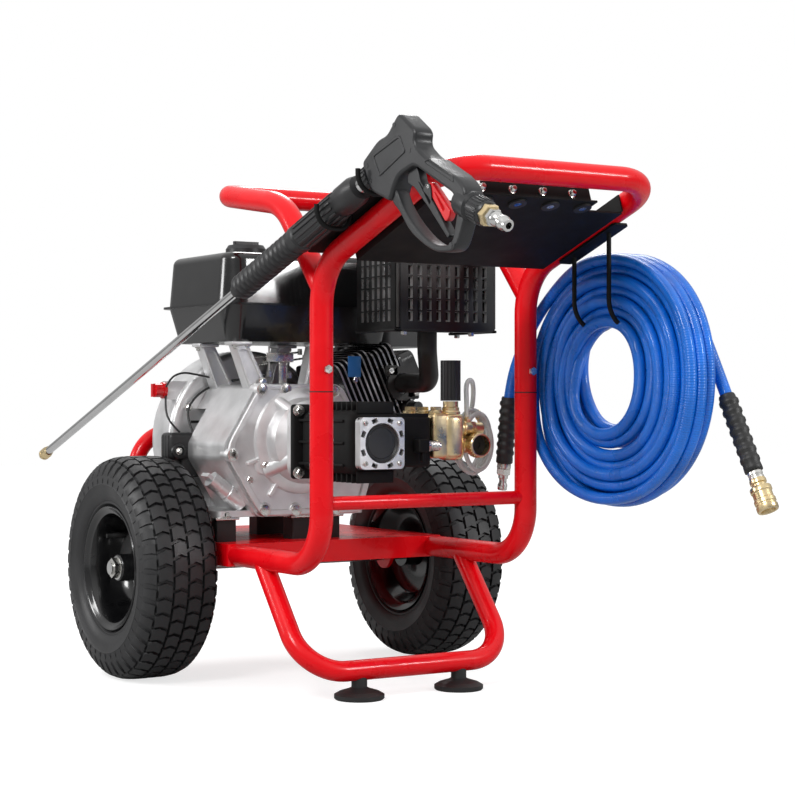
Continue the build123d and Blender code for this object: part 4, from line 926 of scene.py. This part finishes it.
def add_ports(bm):
    """Adds the turned ports in one row and the inlet with its ribbed ring."""
    lathe(bm, [(0, 0), (14, 0), (14, 8), (12.4, 10), (12.4, 14), (11, 15), (11, 23.4), (0, 23.4)],
          (84, PORT_Y, 388), UP)
    lathe(bm, [(0, 0), (12, 0), (12, 14), (11, 15.5), (11, 25), (10, 27), (0, 27)], (90, PORT_Y, 372), RIGHT)
    hexagon(bm, (116, PORT_Y, 372), RIGHT, 20, 8)
    lathe(bm, [(0, 0), (8.6, 0), (8.6, 13), (7.6, 14), (0, 14)], (124, PORT_Y, 372), RIGHT, 40)
    lathe(bm, [(0, 0), (10.5, 0), (10.5, 8), (9, 9.5), (9, 14), (11.6, 15), (11.6, 26), (0, 26)],
          (96, PORT_Y, 350), RIGHT)
    lathe(bm, [(0, -12), (12, -12), (12, 3), (15.5, 7), (17.3, 9), (17.3, 22.6), (16.2, 24), (14.6, 24),
               (14.6, 12), (0, 12)], PUMP_INLET, FRONT)
    for k in range(24):
        block(bm, (16.6, -1.1, 10), (18.2, 1.1, 21.5), 0.5, spoke(PUMP_INLET, FRONT, k, 24))
    for x in (93, 97.5, 102):
        lathe(bm, [(11.2, 0), (13, 0.6), (13, 2.2), (11.2, 2.8)], (x, PORT_Y, 372), RIGHT, 48)


def make_pump_head():
    """Brass head, the barb of the detergent tube and the washer in the inlet."""
    bm = bmesh.new()
    block(bm, (46, -138, 330), (80, -36, 394), 5)
    block(bm, (66, -142, 327), (99, -108, 394), 9)
    block(bm, (66, -106, 331), (98, -38, 367), 7)
    block(bm, (70, -104, 360), (86, -38, 388), 5)
    add_plugs(bm)
    add_ports(bm)
    head = from_bmesh("brass_pump_head", bm, M["brass"], smooth=35)
    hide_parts("pump_manifold", "pump_ports")
    bm = bmesh.new()
    hexagon(bm, BARB, UP, 11, 6)
    lathe(bm, [(0, 5), (2.7, 5), (2.7, 7.5), (3.5, 8), (2.7, 10), (3.5, 10.5), (2.7, 13), (3.4, 13.5), (2.4, 16),
               (0, 16)], BARB, UP, 28)
    from_bmesh("detergent_barb", bm, M["brass"])
    bm = bmesh.new()
    lathe(bm, [(5, 12.1), (14.3, 12.1), (14.3, 13.6), (5, 13.6)], PUMP_INLET, FRONT, 48)
    disc(bm, 5.2, 12.1, 12.4, PUMP_INLET, FRONT, 32)
    from_bmesh("inlet_washer", bm, DARK)


make_pump_body()
make_pump_screws()
make_pump_head()

# -------- engine
COVER_FACE = 75
COVER = [(-70, -112), (105, -112), (122, -60), (112, 10), (70, 84), (-70, 84), (-124, -4), (-124, -26)]
COVER_BOLTS = [(-117, -20), (-63, -102), (-10, -104), (60, -104), (108, -40), (96, 20), (56, 74), (-27, 76),
               (-68, 76)]
BRACKET_YS = (98.5, 206.5)
BRACKET_LEGS = [[(-121, 426), (-91, 426), (-129.5, 494), (-148, 494)], [(-32, 426), (-2, 426), (5, 494), (-14, 494)]]
RODS = [((-112, 118, 476), (-20, 132, 486)), ((-106, 130, 464), (10, 170, 478)),
        ((-84, 112, 452), (-84, 112, 494)), ((-60, 118, 447), (-40, 124, 490))]
CABLES = [
    ("arc_cable", [(-160, 212, 362), (-166, 224, 386), (-156, 231, 410), (-132, 231, 430), (-104, 222, 441),
                   (-84, 190, 446), (-70, 150, 452)], 1.8),
    ("switch_cable_0", [(-192, 246, 428), (-188, 238, 446), (-170, 232, 456), (-146, 226, 452),
                        (-120, 212, 446)], 1.6),
    ("switch_cable_1", [(-190, 246, 420), (-196, 236, 400), (-194, 226, 380), (-180, 218, 364)], 1.6)]


def on_cover(scale):
    """Cover outline as (X, Z), drawn in towards the shaft by scale."""
    return [(SHAFT_X + dx * scale, SHAFT_Z + dz * scale) for dx, dz in COVER]


def make_cover():
    """Rim and bosses of the crankcase cover, tops of the bracket legs and the oil neck."""
    plate("cover_rim", [rounded(on_cover(0.985), 14), rounded(on_cover(0.905), 16)], 5, 1.5,
          front_plane(COVER_FACE - 0.5), M["cast_aluminium"], "frame")
    bm = bmesh.new()
    for dx, dz in COVER_BOLTS:
        lathe(bm, [(0, -4), (11, -4), (10, 3.4), (8.6, 4), (0, 4)],
              by_shaft(dx * 0.985, COVER_FACE, dz * 0.985), FRONT, 40)
    lathe(bm, [(62, 0), (80, 0), (78, 5), (70, 9), (62, 10)], by_shaft(0, COVER_FACE + 0.2, 0), FRONT, 96)
    for angle in (200, 236, 290, 330):
        turn = Matrix.Translation(Vector(by_shaft(0, COVER_FACE, 0))) @ Matrix.Rotation(-radians(angle), 4, "Y")
        block(bm, (72, -5, -3), (98, 1, 3), 1.8, turn)
    for x, z, radius in ((-114, 318, 15), (-4, 268, 17), (34, 322, 13)):
        lathe(bm, [(0, 0), (radius, 0), (radius - 1.5, 3), (radius - 4, 4), (0, 4)],
              (x, COVER_FACE + 0.2, z), FRONT, 48)
    for y in BRACKET_YS:
        for low_x, high_x in ((-156, -122), (-22, 14)):
            block(bm, (low_x, y - 6, 494), (high_x, y + 20, 499.4), 1.6)
    lathe(bm, [(0, 0), (11.4, 0), (11.4, 3), (14, 4), (14, 10), (12.8, 11), (12.8, 26), (11, 27), (0, 27)],
          (-147, 112, 271), (-0.8, 0, 0.6), 48)
    from_bmesh("cover_bosses", bm, M["cast_aluminium"], smooth=35)


def make_bracket_rims():
    """Raised rims round the windows of the four bracket legs."""
    for y in BRACKET_YS:
        for leg in BRACKET_LEGS:
            mid_x, mid_z = sum(x for x, _ in leg) / 4, sum(z for _, z in leg) / 4
            inner = [(mid_x + 0.72 * (x - mid_x), mid_z + 0.8 * (z - mid_z)) for x, z in leg]
            name = f"bracket_rim_{int(y)}_{int(leg[0][0])}".replace("-", "m")
            plate(name, [rounded(leg, 3), rounded(inner, 4)], 3.2, 0.8, front_plane(y), M["cast_aluminium"],
                  "frame")


def add_governor(bm):
    """Adds the thin rods of the throttle, their nuts and two small levers."""
    for start, end in RODS:
        way = Vector(end) - Vector(start)
        disc(bm, 1.5, 0, way.length, start, way, 16)
    for at in ((-112, 118, 472), (-20, 132, 482), (-84, 112, 448), (10, 170, 474), (-50, 112, 446)):
        hexagon(bm, at, UP, 7, 9)
    block(bm, (-90, 108, 470), (-44, 110.5, 484), 1)
    block(bm, (-66, 112, 438), (-54, 116, 470), 1)


def make_engine_fasteners():
    """Bolts of the cover, brackets, flange and feet, and the throttle's rods."""
    bm = bmesh.new()
    for dx, dz in COVER_BOLTS:
        lathe(bm, [(0, 3.6), (8.4, 3.6), (8.4, 5), (7, 5.6), (0, 5.6)], by_shaft(dx, COVER_FACE, dz), FRONT, 32)
    for x, y in ((-146, 100), (-128, 100), (-14, 100), (4, 100), (-146, 222), (4, 222)):
        flanged_bolt(bm, (x, y, 494), (0, 0, -1), 8, 4)
    for x, y, z in ((-104, 96.5, 440), (-18, 96.5, 440), (-114, 71.5, 318), (34, 71.5, 322)):
        flanged_bolt(bm, (x, y, z), FRONT, 9, 4.5)
    add_governor(bm)
    for y in (92, 202):
        for x0, x1 in ((-183, -144), (-57, 34)):
            block(bm, (x0, y, 237), (x1, y + 38, 241), 1)
        flanged_bolt(bm, (-163, y + 6, 241), UP, 10, 6)
        flanged_bolt(bm, (-12, y + 2, 241), UP, 10, 6)
    hexagon(bm, (-136, 78, 296), FRONT, 10, 5)
    for x, z in ((112, 458), (158, 424)):
        flanged_bolt(bm, (x, 84.5, z), FRONT, 9, 5)
    from_bmesh("engine_bolts_and_rods", bm, ZINC)


def make_control_box():
    """Moulded box with its knob and finger ribs."""
    bm = bmesh.new()
    block(bm, (-205, 202, 322), (-121, 236, 364), 7)
    block(bm, (-184, 205, 296), (-121, 235, 328), 6)
    lathe(bm, [(0, 0), (12, 0), (11, 3), (8, 4), (7, 2), (0, 2)], (-190, 202.5, 336), FRONT, 40)
    for k in range(3):
        block(bm, (-205.5, 206 + 9 * k, 326), (-203.8, 209 + 9 * k, 360), 0.6)
    box = from_bmesh("moulded_control_box", bm, M["black_plastic"])
    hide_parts("control_box")


def make_bell():
    """Bolts on the front of the recoil housing, and a near-black disc and slots laid on it as painted shade for its
    openings.
    """
    bm = bmesh.new()
    flanged_bolt(bm, (-190, 200.6, 336), FRONT, 7, 3)
    for x, z in ((-157, 402), (-22, 474), (-186, 330), (48, 452), (58, 262)):
        flanged_bolt(bm, (x, 236, z), FRONT, 8, 4)
    from_bmesh("bell_bolts", bm, ZINC)
    # Painted shade: a near-black disc and slots on the housing's face stand for the shade inside its openings.
    bm = bmesh.new()
    disc(bm, 3.2, 0, 0.5, (-128, 236.2, 404), FRONT, 24)
    for x, z, long in ((-112, 418, 30), (-140, 380, 26), (-150, 352, 22)):
        block(bm, (x - long / 2, 234.8, z - 2), (x + long / 2, 236.2, z + 2), 0.5)
    from_bmesh("bell_openings_painted_shade", bm, DARK)


def make_engine_cables():
    """Throttle cable in an arc and the two wires of the switch."""
    for name, points, radius in CABLES:
        wire(name, points, radius, M["black_plastic"], "frame")


def make_exhaust():
    """Flange of the silencer, and the blank blue tag with its bolt."""
    bm = bmesh.new()
    lathe(bm, [(16, 0), (27, 0), (27, 5), (16, 5)], (134.9, 87.6, 439.2), FRONT, 48)
    block(bm, (104, 82.6, 449), (128, 87.6, 467), 3)
    block(bm, (142, 82.6, 415), (166, 87.6, 433), 3)
    from_bmesh("exhaust_flange", bm, M["exhaust_steel"])
    bm = bmesh.new()
    block(bm, (41, 90.4, 448), (64, 92, 480), 0.8)
    from_bmesh("blank_blue_tag", bm, BLUE_TAG)
    bm = bmesh.new()
    hexagon(bm, (53, 90.5, 444), FRONT, 8, 4)
    from_bmesh("tag_bolt", bm, ZINC)


make_cover()
make_bracket_rims()
make_engine_fasteners()
make_control_box()
make_bell()
make_engine_cables()
make_exhaust()

# -------- tray and frame
SLOPE = radians(20)
LEG = Matrix(((1, 0, 0, 0), (0, cos(SLOPE), sin(SLOPE), -190), (0, -sin(SLOPE), cos(SLOPE), 592), (0, 0, 0, 1)))


def make_tray():
    """Lip with four studs on the tray's front edge, short nozzle bodies and the seams of the tubes."""
    bm = bmesh.new()
    block(bm, (-91, -275.6, -18.5), (80, -273.6, 8), 0.6, LEG)
    for side in (-1, 1):
        block(bm, (side * 151 - 1.3, -250, -16), (side * 151 + 1.3, -62, 8), 0.5, LEG)
    from_bmesh("tray_lip", bm, MATT_BLACK, smooth=30)
    bm = bmesh.new()
    for x in (-92, -45, 2, 49):
        lathe(bm, [(0, 0), (5.6, 0), (5.6, 1.2), (4.2, 1.6), (4.2, 5), (3, 7.2), (0, 7.8)],
              LEG @ Vector((x, -275.6, -10)), LEG.to_3x3() @ Vector(FRONT), 28)
    from_bmesh("tray_studs", bm, ZINC)
    bm = bmesh.new()
    for x in (-78, -26, 26, 78):
        lathe(bm, [(0, -2.9), (4.9, -2.9), (4.9, 11), (7.5, 11), (7.5, 19), (6.2, 24), (0, 24)],
              LEG @ Vector((x, -257, -18)), LEG.to_3x3() @ Vector(UP), 32)
    tips = from_bmesh("nozzle_bodies", bm, M["nozzle_colours"])
    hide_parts("spray_nozzles")
    bm = bmesh.new()
    for x in (-169, 169):
        lathe(bm, [(15, -0.7), (16.15, -0.7), (16.15, 0.7), (15, 0.7)], (x, -190, 424), UP, 64)
    from_bmesh("tube_seams", bm, DARK)


make_tray()

bpy.context.view_layer.update()
